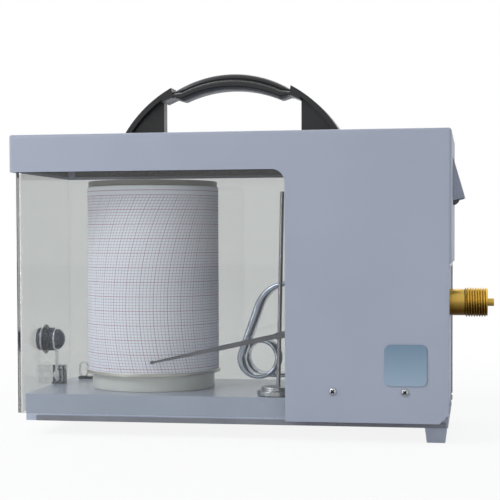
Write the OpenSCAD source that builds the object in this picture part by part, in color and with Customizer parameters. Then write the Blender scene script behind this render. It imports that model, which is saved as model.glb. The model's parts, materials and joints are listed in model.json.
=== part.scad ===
// Pressure chart recorder: a painted sheet hood with a clear wrap-round window swings up
// from a base that carries a recording drum, a Bourdon tube and its pen. Millimetres, +Z up.
// Inside the modules x runs from the hood's left face, y from its front face towards the back
// and z from its lower edge; in_case() moves that frame to the middle of the footprint.

/* [Hood] */
// Width over the hood's side faces
case_w = 306; // [296:1:330]
// Depth from the front face to the back face
case_d = 132; // [130:1:150]
// Height from the hood's lower edge to the top of the roof
case_h = 197; // [190:1:220]
// Thickness of the painted sheet
sheet_t = 1.5; // [1.2:0.1:2]
// Outside radius of the bends between roof and walls
bend_r = 2.4; // [2.1:0.1:3.5]
// Height of the skirt that hangs from the roof above the window
skirt_h = 26; // [20:1:29]
// Height of the right-hand skirt
side_skirt_h = 90; // [84:1:94]
// Width of the right-hand panels
panel_w = 111.5; // [104:0.5:116]
// Radius of the window's upper right corner
window_corner_r = 9; // [4:0.5:14]
// Step by which the panels' free right edges stand back from the right skirt
edge_inset = 1.5; // [1:0.1:2]
// Length of the bevel at the lower right corners
corner_cut = 6.5; // [5:0.5:7.5]

/* [Window] */
// Thickness of the clear panes
pane_t = 3; // [2:0.1:4]
// Thickness of the tape between the sheet and the panes
tape_t = 1.3; // [0.6:0.1:1.6]
// Height of the panes' lower edge above the hood's lower edge
pane_rise = 2; // [1:0.5:4]
// Width of the strip where a pane lies behind the sheet
pane_overlap = 12; // [8:1:16]
// Outside radius of the panes' bent corners
pane_corner_r = 5; // [4.5:0.5:8]

/* [Base] */
// Gap between the panes and the tray
tray_gap = 2.5; // [2:0.1:4]
// Height of the tray's floor above the hood's lower edge
floor_z = 15.2; // [12:0.1:16]
// How far the tray's lips reach below the hood's lower edge
lip_drop = 3.7; // [3:0.1:6]
// Width of the flanges turned in at the bottom of the lips
lip_flange = 16; // [15:0.5:22]
// Height of the feet
foot_h = 10.5; // [8:0.5:16]
// Width of a foot at its sole
foot_sole = 12.4; // [11:0.2:15]
// Width of a foot at its top
foot_top = 15; // [14:0.2:16]
// Gap between the right side plate and the hood's right skirt
plate_gap = 0.8; // [0.5:0.1:1.2]
// Height of the black strip on the tray's lips
strip_h = 3.7; // [2:0.1:4.5]
// Thickness of the black strip
strip_t = 1; // [0.6:0.1:1.5]

/* [Hood hinge] */
// Diameter of the hinge's knuckles
hinge_d = 3.4; // [3:0.1:4]
// Diameter of the hinge's pin
hinge_pin_d = 1.6; // [1.2:0.1:2]
// Height of the hinge's leaves
leaf_h = 14; // [10:0.5:18]
// Thickness of the hinge's leaves
leaf_t = 0.8; // [0.6:0.1:1]
// Number of knuckles
knuckles = 7; // [3:2:11]

/* [Panel screws and badge] */
// Distance of a panel's right screw from the hood's right face
screw_from_right = 30.7; // [28:0.1:33]
// Distance between the two screws of a panel
screw_pitch = 48.4; // [40:0.1:54]
// Height of the panel screws above the hood's lower edge
screw_z = 20.8; // [20.5:0.1:23]
// Diameter of the panel screws' heads
screw_head_d = 5.4; // [5:0.1:7]
// Diameter of the panel screws
screw_d = 3; // [2.5:0.1:4]
// Width of the badge plate
badge_w = 28.4; // [26:0.1:32]
// Height of the badge plate
badge_h = 27.8; // [26:0.1:30]
// Distance of the badge plate from the hood's right face
badge_from_right = 16; // [12:0.1:17]
// Height of the badge plate's lower edge above the hood's lower edge
badge_rise = 25; // [24.5:0.1:30]

/* [Handle] */
// Height of the handle above the roof
handle_h = 46.6; // [44:0.5:56]
// Thickness of the handle from front to back
handle_t = 24; // [20:1:32]
// Clear width between the handle's pillars
grip_w = 101; // [96:1:106]
// Radius of the rim round the handle's pillars
handle_r = 92; // [86:1:120]
// Thickness of the rim that runs round a pillar's web
handle_rim = 3.6; // [2.4:0.2:5]
// Thickness of a pillar's web
web_t = 10; // [8.6:0.2:14]
// Thickness of the grip at its middle
grip_t = 12; // [9:0.5:14]
// Distance from the hood's left face to the middle of the handle
handle_x = 147.7; // [120:0.1:170]

/* [Drum] */
// Radius of the drum's wall, without the chart
drum_r = 48; // [44:0.5:49]
// Length of the chart along the drum
chart_h = 133; // [120:1:134]
// Thickness of the chart paper
paper_t = 0.3; // [0.2:0.05:0.5]
// Distance from the tray's left edge to the drum's wall
drum_left = 29.9; // [28:0.1:31]
// How far the drum's axis stands behind the middle of the case
drum_back = 5; // [4:0.1:6]
// Height of the ivory seat under the drum
seat_h = 10.8; // [10:0.1:12]
// Radius of the seat
seat_r = 45; // [40:0.5:46]
// Thickness of the flange under the chart
flange_t = 2.3; // [1.8:0.1:3]
// How far the flange stands out past the drum's wall
flange_out = 1.4; // [0.8:0.1:1.8]
// Height of the dark rim above the chart
rim_h = 4.4; // [3:0.1:6]
// Diameter of the drum's spindle
spindle_d = 8; // [6:0.5:9]
// Teeth of the fixed gear
sun_teeth = 36; // [30:1:40]
// Teeth of the clock's pinion
pinion_teeth = 12; // [10:1:16]
// Module of the two gears
gear_module = 1; // [0.9:0.05:1.1]

/* [Pen] */
// Distance of the pen's axis from the hood's right face
pen_from_right = 34; // [32:0.5:40]
// Height of the pen's axis above the tray's floor
pen_axis_h = 60.3; // [56:0.1:66]
// Distance of the nib to the right of the drum's axis
nib_reach = 7.1; // [4:0.1:14]
// Angle of the arm below level at rest
pen_drop = 12.4; // [8:0.1:14]
// Height of the pen arm's strip
arm_h = 3.7; // [3:0.1:5]
// Thickness of the pen arm's strip
arm_t = 0.6; // [0.4:0.1:0.9]
// Length of the nib behind the arm
nib_l = 4.2; // [3.5:0.1:5]
// Diameter of the pen's shaft
shaft_d = 3; // [2.5:0.1:4]
// Length of the crank
crank_r = 14; // [12:0.5:16]

/* [Pen lifter] */
// Radius of the lifter's foot disc
lifter_r = 13.2; // [10:0.1:13.2]
// Diameter of the lifter's rod
rod_d = 2.9; // [2:0.1:3.4]
// Length of the rod
rod_l = 135; // [110:1:140]
// Lean of the rod to the right
rod_lean = 1.3; // [0:0.1:1.5]

/* [Bourdon tube] */
// Radius of the coil's centre line
coil_r = 12.5; // [11:0.1:13]
// Width of the flattened tube
tube_w = 12.5; // [8:0.5:13]
// Thickness of the flattened tube
tube_t = 3; // [2:0.1:3.2]
// Thickness of the tube in its tail, where it is pressed less
tail_t = 4.6; // [3.2:0.1:6]
// Gap between neighbouring turns
turn_gap = 1.3; // [1:0.1:2.6]
// Turn of the coil's axis away from the front
coil_yaw = 6; // [5:1:14]
// Length of the straight run above the coil
tail_l = 36; // [30:1:40]

/* [Connector] */
// Major diameter of the G1/2 thread
thread_d = 20.955; // [18:0.005:22]
// Length of the thread
thread_l = 16.3; // [14:0.1:20]
// Diameter of the plain neck
neck_d = 18.8; // [16:0.1:20]
// Height of the connector's axis above the tray's floor
port_h = 63.2; // [60:0.1:68]
// Diameter of the spigot
spigot_d = 5.4; // [5:0.1:8]
// Length of the spigot
spigot_l = 4.3; // [3:0.1:8]

/* [Lock] */
// Height of the lock's axis above the tray's floor
lock_h = 34.3; // [33:0.1:38]
// Diameter of the lock's barrel
lock_d = 16.5; // [14:0.1:18]
// How far the knob stands out to the left of the hood
knob_out = 3.6; // [2:0.1:6]

/* [Hidden] */

$fn = 64;
eps = 0.01;
run = 0.03;      // radial clearance of a running fit
gap = 0.3;       // clearance between pieces that move past each other

paint = [0.60, 0.63, 0.69];
paint_light = [0.66, 0.69, 0.76];
black = [0.10, 0.10, 0.11];
steel = [0.74, 0.75, 0.77];
dark_steel = [0.34, 0.35, 0.37];
brass = [0.80, 0.62, 0.24];
ivory = [0.86, 0.86, 0.80];
clear = [0.75, 0.82, 0.80, 0.3];

// Places of the case
mid_y = case_d/2;
panel_x = case_w - panel_w;
skirt_z = case_h - skirt_h;
side_z = case_h - side_skirt_h;
pane_in = sheet_t + tape_t;
pane_face = pane_in + pane_t;
tray_in = pane_face + tray_gap;
plate_out = case_w - sheet_t - plate_gap;
plate_in = plate_out - sheet_t;
stand_h = lip_drop + foot_h;
hinge_x = plate_in - leaf_t + hinge_d/2;
hinge_z = side_z - hinge_d/2 - 0.5;
plate_top = hinge_z - hinge_d/2 - gap;
screw_x = case_w - screw_from_right;
panel_screw_places = [for (i = [0, 1]) screw_x - i*screw_pitch];
roof_z = case_h - sheet_t;
head_t = 1.9;

// Connector and pipe
port_z = floor_z + port_h;
neck_end = case_w + 8;
thread_end = neck_end + thread_l;
port_tip = thread_end + spigot_l;
port_stud_l = 14;
port_stud_d = 14;
port_bore = 3;
locknut_t = 6;
pipe_d = 4;

// Drum
drum_x = tray_in + drum_left + drum_r;
drum_y = mid_y + drum_back;
seat_top = floor_z + seat_h;
flange_z = seat_top + gap;
chart_z = flange_z + flange_t;
chart_top = chart_z + chart_h;
rim_top = chart_top + rim_h;
paper_r = drum_r + paper_t;
wall_t = 1.4;
gear_z = floor_z + 5;
gear_t = 3;
gear_centres = gear_module*(sun_teeth + pinion_teeth)/2 + 0.1;
pinion_x = drum_x + gear_centres;

// Pen
pen_x = case_w - pen_from_right;
pen_z = floor_z + pen_axis_h;
pen_len = pen_x - drum_x - nib_reach;
nib_y = drum_y - sqrt(pow(paper_r, 2) - pow(nib_reach, 2)) - gap;
arm_back = nib_y - nib_l;
arm_front = arm_back - arm_t;
holder_front = arm_front - arm_t;
arm_mid = (holder_front + arm_back)/2;
gate_x = 9;
gate_half = 2.3;
fork_t = 1.6;
gate_pin_d = 1.5;
shaft_front = holder_front - 3;
hub_d = 9;
hub_front = shaft_front + 2*gap;
hub_back = arm_back + 3.4;
bracket_front = hub_back + 2.9;
bracket_span = 29;
bracket_back = bracket_front + bracket_span;
bracket_t = 2;
bracket_foot_z = floor_z + bracket_t;
shaft_back = bracket_back + bracket_t + 2;
crank_y = bracket_front + 14;
crank_t = 2;
crank_a = -100;
crank_pin = [pen_x + crank_r*cos(crank_a), pen_z + crank_r*sin(crank_a)];
link_y = crank_y + crank_t + gap;
link_t = 1.5;
link_pin_d = 2;
holder_end = 88.5;
arm_lap = 20;
arm_taper = 50;
arm_tip_h = 1.4;

// Lifter
disc_t = 3.4;
step_t = 2.5;
step_in = 3;
lifter_x = panel_x - 9.2;
lifter_y = tray_in + 0.5 + lifter_r;
disc_z = floor_z + gap;
rod_x = 1.7;
rod_y = arm_back + 2*gap + rod_d/2 - lifter_y;

// Bourdon tube: a tangent tail, an arc and a level run above the coil
coil_x = drum_x + drum_r + 36.6;
coil_y = arm_back + 18.9;
coil_z = floor_z + coil_r + 11.2;
tail_a = 20;
top_r = 24;
level_l = 16;
coil_from = 180 - tail_a;
coil_to = 630;
exit_l = 18;
turn_pitch = tube_w + turn_gap;
tail_start = [coil_r*cos(coil_from), coil_r*sin(coil_from)];
tail_end = tail_start + tail_l*[sin(tail_a), cos(tail_a)];
top_c = tail_end + top_r*[cos(tail_a), -sin(tail_a)];
tip_p = top_c + [level_l, top_r];
coil_turn = (coil_to - coil_from)/360;
function coil_at(p, z, d) = [coil_x + p*cos(coil_yaw) + d*sin(coil_yaw),
    coil_y - p*sin(coil_yaw) + d*cos(coil_yaw), coil_z + z];
tip_at = coil_at(tip_p[0], tip_p[1], 0);
exit_at = coil_at(exit_l, -coil_r, coil_turn*turn_pitch);
clip_pin_x = 4;
tip_pin = [tip_at[0] + clip_pin_x, tip_at[2]];

// Lock
lock_z = floor_z + lock_h;
lock_y = mid_y;
cam_x = pane_in + 9.4;
cam_t = 1.3;
cam_len = lock_h - 3;
cam_w = 5;
finger_t = 3;
finger_a = 14;
pin_a = 26.8;
pin_r = cam_len - finger_t - 3;
keeper_pin_d = 3;
keeper_t = 1.6;
keeper_h = 14;
keeper_x0 = cam_x - 5.7;
keeper_x1 = cam_x + cam_t + 2.1;
cheek_x1 = cam_x - 0.5;
keeper_screw_d = 4.6;
keeper_screw_h = 6.6;
pin_y = lock_y + pin_r*sin(pin_a);
pin_z = lock_z - pin_r*cos(pin_a);
ear_y0 = lock_y + cam_len*sin(finger_a) + 1.6;
cheek_mid = (keeper_x0 + cheek_x1)/2;

// Whole footprint
left_end = -knob_out;
mid_x = (left_end + port_tip)/2;

module in_case() {
    translate([-mid_x, -mid_y, stand_h]) children();
}

module x_cyl(d, l) {
    rotate([0, 90, 0]) cylinder(d = d, h = l);
}

module y_cyl(d, l) {
    rotate([-90, 0, 0]) cylinder(d = d, h = l);
}

// Front and back copies of one thing
module front_and_back() {
    children();
    translate([0, case_d, 0]) mirror([0, 1, 0]) children();
}

// Rectangle with round corners, from the origin
module round_rect(w, h, r) {
    translate([r, 0]) square([w - 2*r, h]);
    translate([0, r]) square([w, h - 2*r]);
    for (x = [r, w - r], y = [r, h - r]) translate([x, y]) circle(r = r);
}

// Block whose upright and upper edges are round
module bent_block(w, d, h, r) {
    intersection() {
        linear_extrude(h) round_rect(w, d, r);
        translate([0, d, -r - 1]) rotate([90, 0, 0]) linear_extrude(d) round_rect(w, h + r + 1, r);
        translate([0, 0, -r - 1]) rotate([90, 0, 90]) linear_extrude(w) round_rect(d, h + r + 1, r);
    }
}

// Outline of the sheet that the window leaves away, seen from the front
module window_outline() {
    translate([-1, -1]) square([panel_x - window_corner_r + 1, skirt_z + 1]);
    translate([-1, -1]) square([panel_x + 1, skirt_z - window_corner_r + 1]);
    translate([panel_x - window_corner_r, skirt_z - window_corner_r]) circle(r = window_corner_r);
}

rim_rise = 0.8;       // the rim's circle crests this far above the grip's
rim_mid_z = handle_h + rim_rise - handle_r;
handle_half = sqrt(handle_r*handle_r - rim_mid_z*rim_mid_z);
handle_screw_x = (handle_half + grip_w/2)/2;
handle_screw_d = 5;
cowl_w = 42;
cowl_h = 31;
cowl_out = 8.4;
cowl_z = side_z + 43;
cowl_t = 1.2;
cowl_y0 = mid_y - cowl_w/2;
cowl_edge_z = 2.3;
grommet_d = 10.4;
grommet_neck = 8;
grommet_z = cowl_z + 2.2;

module hood_shell() in_case() color(paint_light) {
    difference() {
        bent_block(case_w, case_d, case_h, bend_r);
        translate([sheet_t, sheet_t, -eps])
            bent_block(case_w - 2*sheet_t, case_d - 2*sheet_t, roof_z + eps, bend_r - sheet_t);
        // window openings at the front, the left and the back
        translate([0, case_d + 1, 0]) rotate([90, 0, 0]) linear_extrude(case_d + 2) window_outline();
        // free right side under the skirt
        translate([case_w - edge_inset, -1, -1]) cube([edge_inset + 1, case_d + 2, side_z + 1]);
        // bevelled lower right corners
        translate([case_w - edge_inset, case_d + 1, 0]) rotate([90, 0, 0])
            linear_extrude(case_d + 2) polygon([[-corner_cut, -1], [1, -1], [1, corner_cut],
                [0, corner_cut], [-corner_cut, 0]]);
        front_and_back() for (x = panel_screw_places)
            translate([x, -1, screw_z]) y_cyl(screw_d, sheet_t + 2);
        for (s = [-1, 1])
            translate([handle_x + s*handle_screw_x, mid_y, roof_z - 1])
                cylinder(d = handle_screw_d, h = sheet_t + 2);
        translate([case_w - sheet_t - 1, mid_y, grommet_z]) x_cyl(grommet_neck, sheet_t + 2);
        translate([case_w - sheet_t - 1, cowl_y0 + 5, grommet_z + 8]) cube([sheet_t + 2, cowl_w - 10, 10]);
    }
}

module pane_plan(inset) {
    w = panel_x + pane_overlap - pane_in;
    d = case_d - 2*pane_in;
    translate([pane_in, pane_in]) difference() {
        union() {
            round_rect(w, d, pane_corner_r);
            translate([w/2, 0]) square([w/2, d]);
        }
        translate([inset, inset]) {
            round_rect(w, d - 2*inset, pane_corner_r - inset);
            translate([w/2, 0]) square([w, d - 2*inset]);
        }
    }
}

pane_top = roof_z - 1;

module window_panes() in_case() color(clear) {
    difference() {
        translate([0, 0, pane_rise]) linear_extrude(pane_top - pane_rise) pane_plan(pane_t);
        translate([pane_in - 1, lock_y, lock_z]) x_cyl(lock_d - 3, pane_t + 2);
    }
}

module window_tape() in_case() color(black) {
    tape_h = skirt_h - 6;
    tape_z = skirt_z + 2;
    front_and_back() {
        translate([pane_in + 6, sheet_t, tape_z]) cube([panel_x - pane_in - 10, tape_t, tape_h - 2]);
        translate([panel_x + 2, sheet_t, screw_z + 20])
            cube([pane_overlap - 4, tape_t, skirt_z - screw_z - 24]);
    }
    translate([sheet_t, pane_in + 6, tape_z]) cube([tape_t, case_d - 2*pane_in - 12, tape_h - 2]);
}

grip_flatter = 10;   // the grip's upper edge has a smaller radius than the rim
finger_z = handle_h - grip_t;
dip_in = 14.6;       // how far the grip's lowest points lie in from the pillars
dip_drop = 7.8;
peak_in = 7.1;       // the peaks between the pillars and the grip's lowest points
peak_rise = 2.5;
brow_drop = 3.2;     // from a peak to the top of the pillar's inner face
notch_in = 8.4;      // where rim and grip meet on the upper side
notch_fold = 3;      // how far the rim's end leans over the notch
foot_flange = 3;

// Handle outline about its own middle, with its foot line on z = 0
module handle_outline() {
    pillar = grip_w/2;
    dip = pillar - dip_in;
    dip_z = finger_z - dip_drop;
    peak = pillar - peak_in;
    peak_z = dip_z + peak_rise;
    notch = pillar - notch_in;
    crown_r = handle_r - grip_flatter;
    arch_r = (dip*dip + dip_drop*dip_drop)/(2*dip_drop);
    difference() {
        union() {
            // rims of the two pillars, which end in a fold where the grip begins
            intersection() {
                translate([0, rim_mid_z]) circle(r = handle_r, $fn = 160);
                for (m = [0, 1]) mirror([m, 0]) polygon([[notch, 0], [notch, finger_z],
                    [notch + notch_fold, handle_h], [handle_half, handle_h], [handle_half, 0]]);
            }
            intersection() {
                translate([0, handle_h - crown_r]) circle(r = crown_r, $fn = 160);
                translate([-pillar, 0]) square([2*pillar, handle_h]);
            }
        }
        // gap for the fingers: straight between the pillars, a peak at each end, an arch between
        polygon([[-pillar, -1], [pillar, -1], [pillar, peak_z - brow_drop], [peak, peak_z], [dip, dip_z],
            [-dip, dip_z], [-peak, peak_z], [-pillar, peak_z - brow_drop]]);
        intersection() {
            translate([0, finger_z - arch_r]) circle(r = arch_r, $fn = 160);
            translate([-dip, dip_z - 1]) square([2*dip, handle_h]);
        }
    }
}

// Pocket that leaves the web of one pillar, open on its inner side
module web_pocket() {
    intersection() {
        translate([0, rim_mid_z]) circle(r = handle_r - handle_rim, $fn = 160);
        translate([grip_w/2, foot_flange]) square([handle_half, handle_h]);
    }
}

module handle() in_case() color(black) {
    pocket = (handle_t - web_t)/2;
    translate([handle_x, mid_y, case_h]) difference() {
        translate([0, handle_t/2, 0]) rotate([90, 0, 0]) linear_extrude(handle_t) handle_outline();
        for (m = [0, 1], n = [0, 1]) mirror([m, 0, 0]) mirror([0, n, 0])
            translate([0, -web_t/2, 0]) rotate([90, 0, 0]) linear_extrude(pocket + 1) web_pocket();
        for (s = [-1, 1]) translate([s*handle_screw_x, 0, -1])
            cylinder(d = handle_screw_d, h = handle_screw_l + 2);
    }
}

handle_head_d = 9;
handle_head_t = 3.2;
handle_screw_l = 12;

module handle_screws() in_case() color(steel) {
    for (s = [-1, 1]) translate([handle_x + s*handle_screw_x, mid_y, roof_z]) {
        translate([0, 0, -handle_head_t]) cylinder(d = handle_head_d, h = handle_head_t);
        cylinder(d = handle_screw_d, h = handle_screw_l);
    }
}

badge_t = 0.8;
badge_r = 4;

module badge_plate() in_case() color([0.42, 0.48, 0.56]) {
    translate([case_w - badge_from_right - badge_w, 0, badge_rise]) rotate([90, 0, 0])
        linear_extrude(badge_t) round_rect(badge_w, badge_h, badge_r);
}

angle_t = 1.5;
angle_h = 12;
angle_reach = tray_in + 5;
angle_end = 5;

// Angles inside the panels that rest on the tray's floor when the hood is down
module stop_angles() in_case() color(steel) {
    front_and_back() difference() {
        translate([screw_x - screw_pitch - angle_end, sheet_t, floor_z + gap]) {
            cube([screw_pitch + 2*angle_end, angle_t, angle_h]);
            cube([screw_pitch + 2*angle_end, angle_reach - sheet_t, angle_t]);
        }
        for (x = panel_screw_places) translate([x, 0, screw_z]) y_cyl(screw_d, sheet_t + angle_t + 1);
    }
}

module pan_head(d, t) {
    difference() {
        rotate_extrude() intersection() {
            translate([0, t - d]) circle(r = d);
            square([d/2, t]);
        }
        for (a = [0, 90]) rotate(a) translate([-d*0.28, -0.35, t - 0.8]) cube([d*0.56, 0.7, 2]);
    }
}

nut_t = 2.4;
nut_w = 6.2;

module panel_screws() in_case() color(steel) {
    front_and_back() for (x = panel_screw_places) translate([x, 0, screw_z]) {
        rotate([90, 0, 0]) pan_head(screw_head_d, head_t);
        y_cyl(screw_d, sheet_t + angle_t + nut_t + 1);
    }
}

module panel_nuts() in_case() color(steel) {
    front_and_back() for (x = panel_screw_places)
        translate([x, sheet_t + angle_t, screw_z]) difference() {
            rotate([-90, 0, 0]) cylinder(d = nut_w, h = nut_t, $fn = 6);
            translate([0, -1, 0]) y_cyl(screw_d, nut_t + 2);
        }
}

module cowl_side(out, h) {
    polygon([[0, 0], [out, cowl_edge_z], [0, h]]);
}

module side_cowl() in_case() color(paint) {
    translate([case_w, cowl_y0 + cowl_w, cowl_z]) rotate([90, 0, 0]) difference() {
        linear_extrude(cowl_w) cowl_side(cowl_out, cowl_h);
        translate([0, 0, cowl_t]) linear_extrude(cowl_w - 2*cowl_t)
            polygon([[-1, -1], [cowl_out, -1], [cowl_out - cowl_t, cowl_edge_z],
                [0, cowl_h - 4*cowl_t], [-1, cowl_h - 4*cowl_t]]);
    }
}

module cowl_grommet() in_case() color(black) {
    translate([case_w, mid_y, grommet_z]) difference() {
        union() {
            rotate([0, 90, 0]) rotate_extrude() intersection() {
                translate([0, -0.6]) circle(d = grommet_d);
                square([grommet_d/2, 4.6]);
            }
            translate([-sheet_t, 0, 0]) x_cyl(grommet_neck, sheet_t);
            translate([-sheet_t - 1.4, 0, 0]) x_cyl(grommet_d, 1.4);
        }
        translate([-5, 0, 0]) x_cyl(3.4, 12);
    }
}

flange_d = lock_d + 5.4;
flange_l = 0.8;
cam_d = lock_d + 0.8;
dome_d = lock_d - 1.5;
dome_l = 5.5;

module lock_barrel() in_case() color(black) {
    translate([0, lock_y, lock_z]) difference() {
        union() {
            translate([pane_in - flange_l, 0, 0]) x_cyl(flange_d, flange_l);
            translate([pane_in, 0, 0]) x_cyl(lock_d - 3, pane_t);
            translate([pane_face, 0, 0]) x_cyl(lock_d - 3, cam_x - gap - pane_face);
        }
        translate([-5, 0, 0]) x_cyl(7 + 2*run, cam_x + 8);
    }
}

module lock_nut() in_case() color(dark_steel) {
    translate([pane_face, lock_y, lock_z]) difference() {
        x_cyl(cam_d, cam_x - gap - pane_face);
        translate([-1, 0, 0]) x_cyl(lock_d - 3, cam_x);
    }
}

// The knob, the plug through the barrel and the cam turn as one
module lock_knob() in_case() color(black) {
    translate([0, lock_y, lock_z]) {
        difference() {
            translate([-knob_out, 0, 0]) rotate([0, 90, 0]) rotate_extrude()
                polygon([[0, 0], [cam_d/2 - 2, 0], [cam_d/2 - 0.6, 0.6], [cam_d/2, 2],
                    [cam_d/2, knob_out - 0.1], [0, knob_out - 0.1]]);
            translate([-knob_out - 1, -0.7, -3]) cube([2.2, 1.4, 6]);
        }
        translate([-0.1, 0, 0]) x_cyl(7, cam_x + 0.1);
    }
}

module lock_ring() in_case() color(steel) {
    translate([-0.1, lock_y, lock_z]) difference() {
        x_cyl(cam_d, pane_in - flange_l - gap + 0.1);
        translate([-1, 0, 0]) x_cyl(7, 6);
    }
}

module lock_dome() in_case() color(steel) {
    translate([cam_x + cam_t, lock_y, lock_z]) {
        rotate([0, 90, 0]) rotate_extrude() intersection() {
            translate([0, dome_l - dome_d*0.6]) circle(d = dome_d*1.2);
            square([dome_d/2, dome_l]);
        }
    }
}

module lock_cam() in_case() color(steel) {
    translate([cam_x, lock_y, lock_z]) rotate([90, 0, 90]) linear_extrude(cam_t) {
        circle(d = cam_d);
        translate([-cam_w/2, -cam_len + finger_t/2]) square([cam_w, cam_len - finger_t/2]);
        // finger on the lock's own circle
        intersection() {
            difference() {
                circle(r = cam_len, $fn = 128);
                circle(r = cam_len - finger_t, $fn = 128);
            }
            polygon([[0, 0], [-cam_w/2, -2*cam_len], [2*cam_len*tan(finger_a), -2*cam_len]]);
        }
    }
}

module lock_keeper() in_case() color(steel) {
    foot_y0 = lock_y + 6;
    ear_y1 = pin_y + 4;
    translate([keeper_x0, foot_y0, floor_z]) cube([keeper_x1 - keeper_x0, ear_y1 - foot_y0, keeper_t]);
    difference() {
        for (x = [[keeper_x0, cheek_x1], [keeper_x1 - keeper_t, keeper_x1]])
            translate([x[0], ear_y0, floor_z]) cube([x[1] - x[0], ear_y1 - ear_y0, keeper_h]);
        translate([keeper_x0 - 1, pin_y, pin_z]) x_cyl(keeper_pin_d, keeper_x1 - keeper_x0 + 2);
        translate([cheek_mid, ear_y0 - 1, floor_z + keeper_screw_h]) y_cyl(2, 4);
    }
}

module keeper_pin() in_case() color(steel) {
    translate([keeper_x0, pin_y, pin_z]) {
        x_cyl(keeper_pin_d, keeper_x1 - keeper_x0 + 1.4);
        translate([keeper_x1 - keeper_x0, 0, 0]) x_cyl(keeper_pin_d + 2, 1.4);
    }
    translate([cheek_mid, ear_y0 - 1.2, floor_z + keeper_screw_h]) {
        y_cyl(keeper_screw_d, 1.2);
        y_cyl(2, 3.8);
    }
}

tray_l = plate_in - tray_in;
tray_d = case_d - 2*tray_in;
tray_h = floor_z + lip_drop;
port_y = mid_y;
foot_x = plate_in - foot_top/2 + 0.9;
foot_y = tray_in + 9.5;
left_foot_x = tray_in + 12;
left_foot_back = 28;
foot_places = [[foot_x, foot_y], [foot_x, case_d - foot_y], [left_foot_x, mid_y + left_foot_back]];
foot_screw_d = 4;
bracket_x0 = pen_x - 11;
bracket_l = 22;
bracket_hole = 3;
socket_l = 16;
socket_w = tube_w + 5;
socket_z = exit_at[2];
socket_top = socket_z + tube_t/2 + 4;

module base_tray() in_case() color(paint) {
    difference() {
        translate([tray_in, tray_in, -lip_drop]) cube([tray_l, tray_d, tray_h]);
        translate([tray_in + sheet_t, tray_in + sheet_t, -lip_drop + sheet_t])
            cube([tray_l - 2*sheet_t, tray_d - 2*sheet_t, tray_h - 2*sheet_t]);
        translate([tray_in + sheet_t + lip_flange, tray_in + sheet_t + lip_flange, -lip_drop - 1])
            cube([tray_l - 2*sheet_t - 2*lip_flange, tray_d - 2*sheet_t - 2*lip_flange, sheet_t + 2]);
        for (p = foot_places)
            translate([p[0], p[1], -lip_drop - 1]) cylinder(d = foot_screw_d, h = sheet_t + 2);
    }
}

strip_start = 7.6;

module edge_strip() in_case() color(black) {
    front_and_back() translate([tray_in + strip_start, tray_in - strip_t, -lip_drop])
        cube([tray_l - strip_start, strip_t, strip_h]);
}

side_screw_pitch = 38;
side_screw_z = 6;
side_screw_places = [for (i = [-1:1]) [mid_y + i*side_screw_pitch, side_screw_z]];

module side_plate() in_case() color(paint) {
    difference() {
        translate([plate_in, tray_in, -lip_drop]) cube([sheet_t, tray_d, plate_top + lip_drop]);
        translate([plate_in - 1, port_y, port_z]) x_cyl(port_stud_d, sheet_t + 2);
        for (p = side_screw_places) translate([plate_in - 1, p[0], p[1]]) x_cyl(screw_d, sheet_t + 2);
    }
}

module side_screws() in_case() color(steel) {
    for (p = side_screw_places) translate([plate_out, p[0], p[1]]) {
        rotate([0, 90, 0]) pan_head(screw_head_d, 1.4);
        translate([-sheet_t, 0, 0]) x_cyl(screw_d, sheet_t);
    }
}

module foot() {
    difference() {
        intersection_for (a = [0, 90]) rotate(a) translate([0, foot_top, 0]) rotate([90, 0, 0])
            linear_extrude(2*foot_top) polygon([[-foot_sole/2, 0], [foot_sole/2, 0],
                [foot_top/2, foot_h], [-foot_top/2, foot_h]]);
        translate([0, 0, -1]) cylinder(d = 8, h = 5);
        cylinder(d = foot_screw_d, h = foot_h + 1);
    }
}

module feet() in_case() color([0.56, 0.58, 0.62]) {
    for (p = foot_places) translate([p[0], p[1], -stand_h]) foot();
}

module foot_screws() in_case() color(steel) {
    for (p = foot_places) translate([p[0], p[1], -stand_h + 4]) {
        translate([0, 0, -2.6]) cylinder(d = 7, h = 2.6);
        cylinder(d = foot_screw_d, h = foot_h - 4 + sheet_t);
    }
}

hinge_y = tray_in + 3;
knuckle_l = (case_d - 2*hinge_y)/knuckles;

// Every second knuckle of the hinge, with its tab towards one side of the pin
module hinge_knuckles(first, tab_x, tab_z) {
    for (i = [first:2:knuckles - 1]) translate([0, hinge_y + i*knuckle_l + gap/2, 0]) {
        translate([hinge_x, 0, hinge_z]) y_cyl(hinge_d, knuckle_l - gap);
        translate([tab_x, 0, tab_z]) cube([leaf_t, knuckle_l - gap, hinge_d/2 + gap]);
    }
}

// Leaf on the inner face of the side plate
module hinge_base_leaf() in_case() color(steel) {
    difference() {
        union() {
            translate([plate_in - leaf_t, hinge_y, hinge_z - leaf_h])
                cube([leaf_t, case_d - 2*hinge_y, plate_top - hinge_z + leaf_h]);
            hinge_knuckles(0, plate_in - leaf_t, plate_top);
        }
        translate([hinge_x, hinge_y - 1, hinge_z]) y_cyl(hinge_pin_d, case_d);
    }
}

// Leaf on the inner face of the hood's right skirt, with a running fit on the pin
module hinge_hood_leaf() in_case() color(steel) {
    leaf_x = case_w - sheet_t - leaf_t;
    leaf_z = hinge_z + hinge_d/2 + gap;
    difference() {
        union() {
            translate([leaf_x, hinge_y, leaf_z])
                cube([leaf_t, case_d - 2*hinge_y, hinge_z + leaf_h - leaf_z]);
            hinge_knuckles(1, leaf_x, hinge_z);
        }
        translate([hinge_x, hinge_y - 1, hinge_z]) y_cyl(hinge_pin_d + 2*run, case_d);
    }
}

module hinge_pin() in_case() color(steel) {
    translate([hinge_x, hinge_y, hinge_z]) y_cyl(hinge_pin_d, case_d - 2*hinge_y);
}

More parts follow.
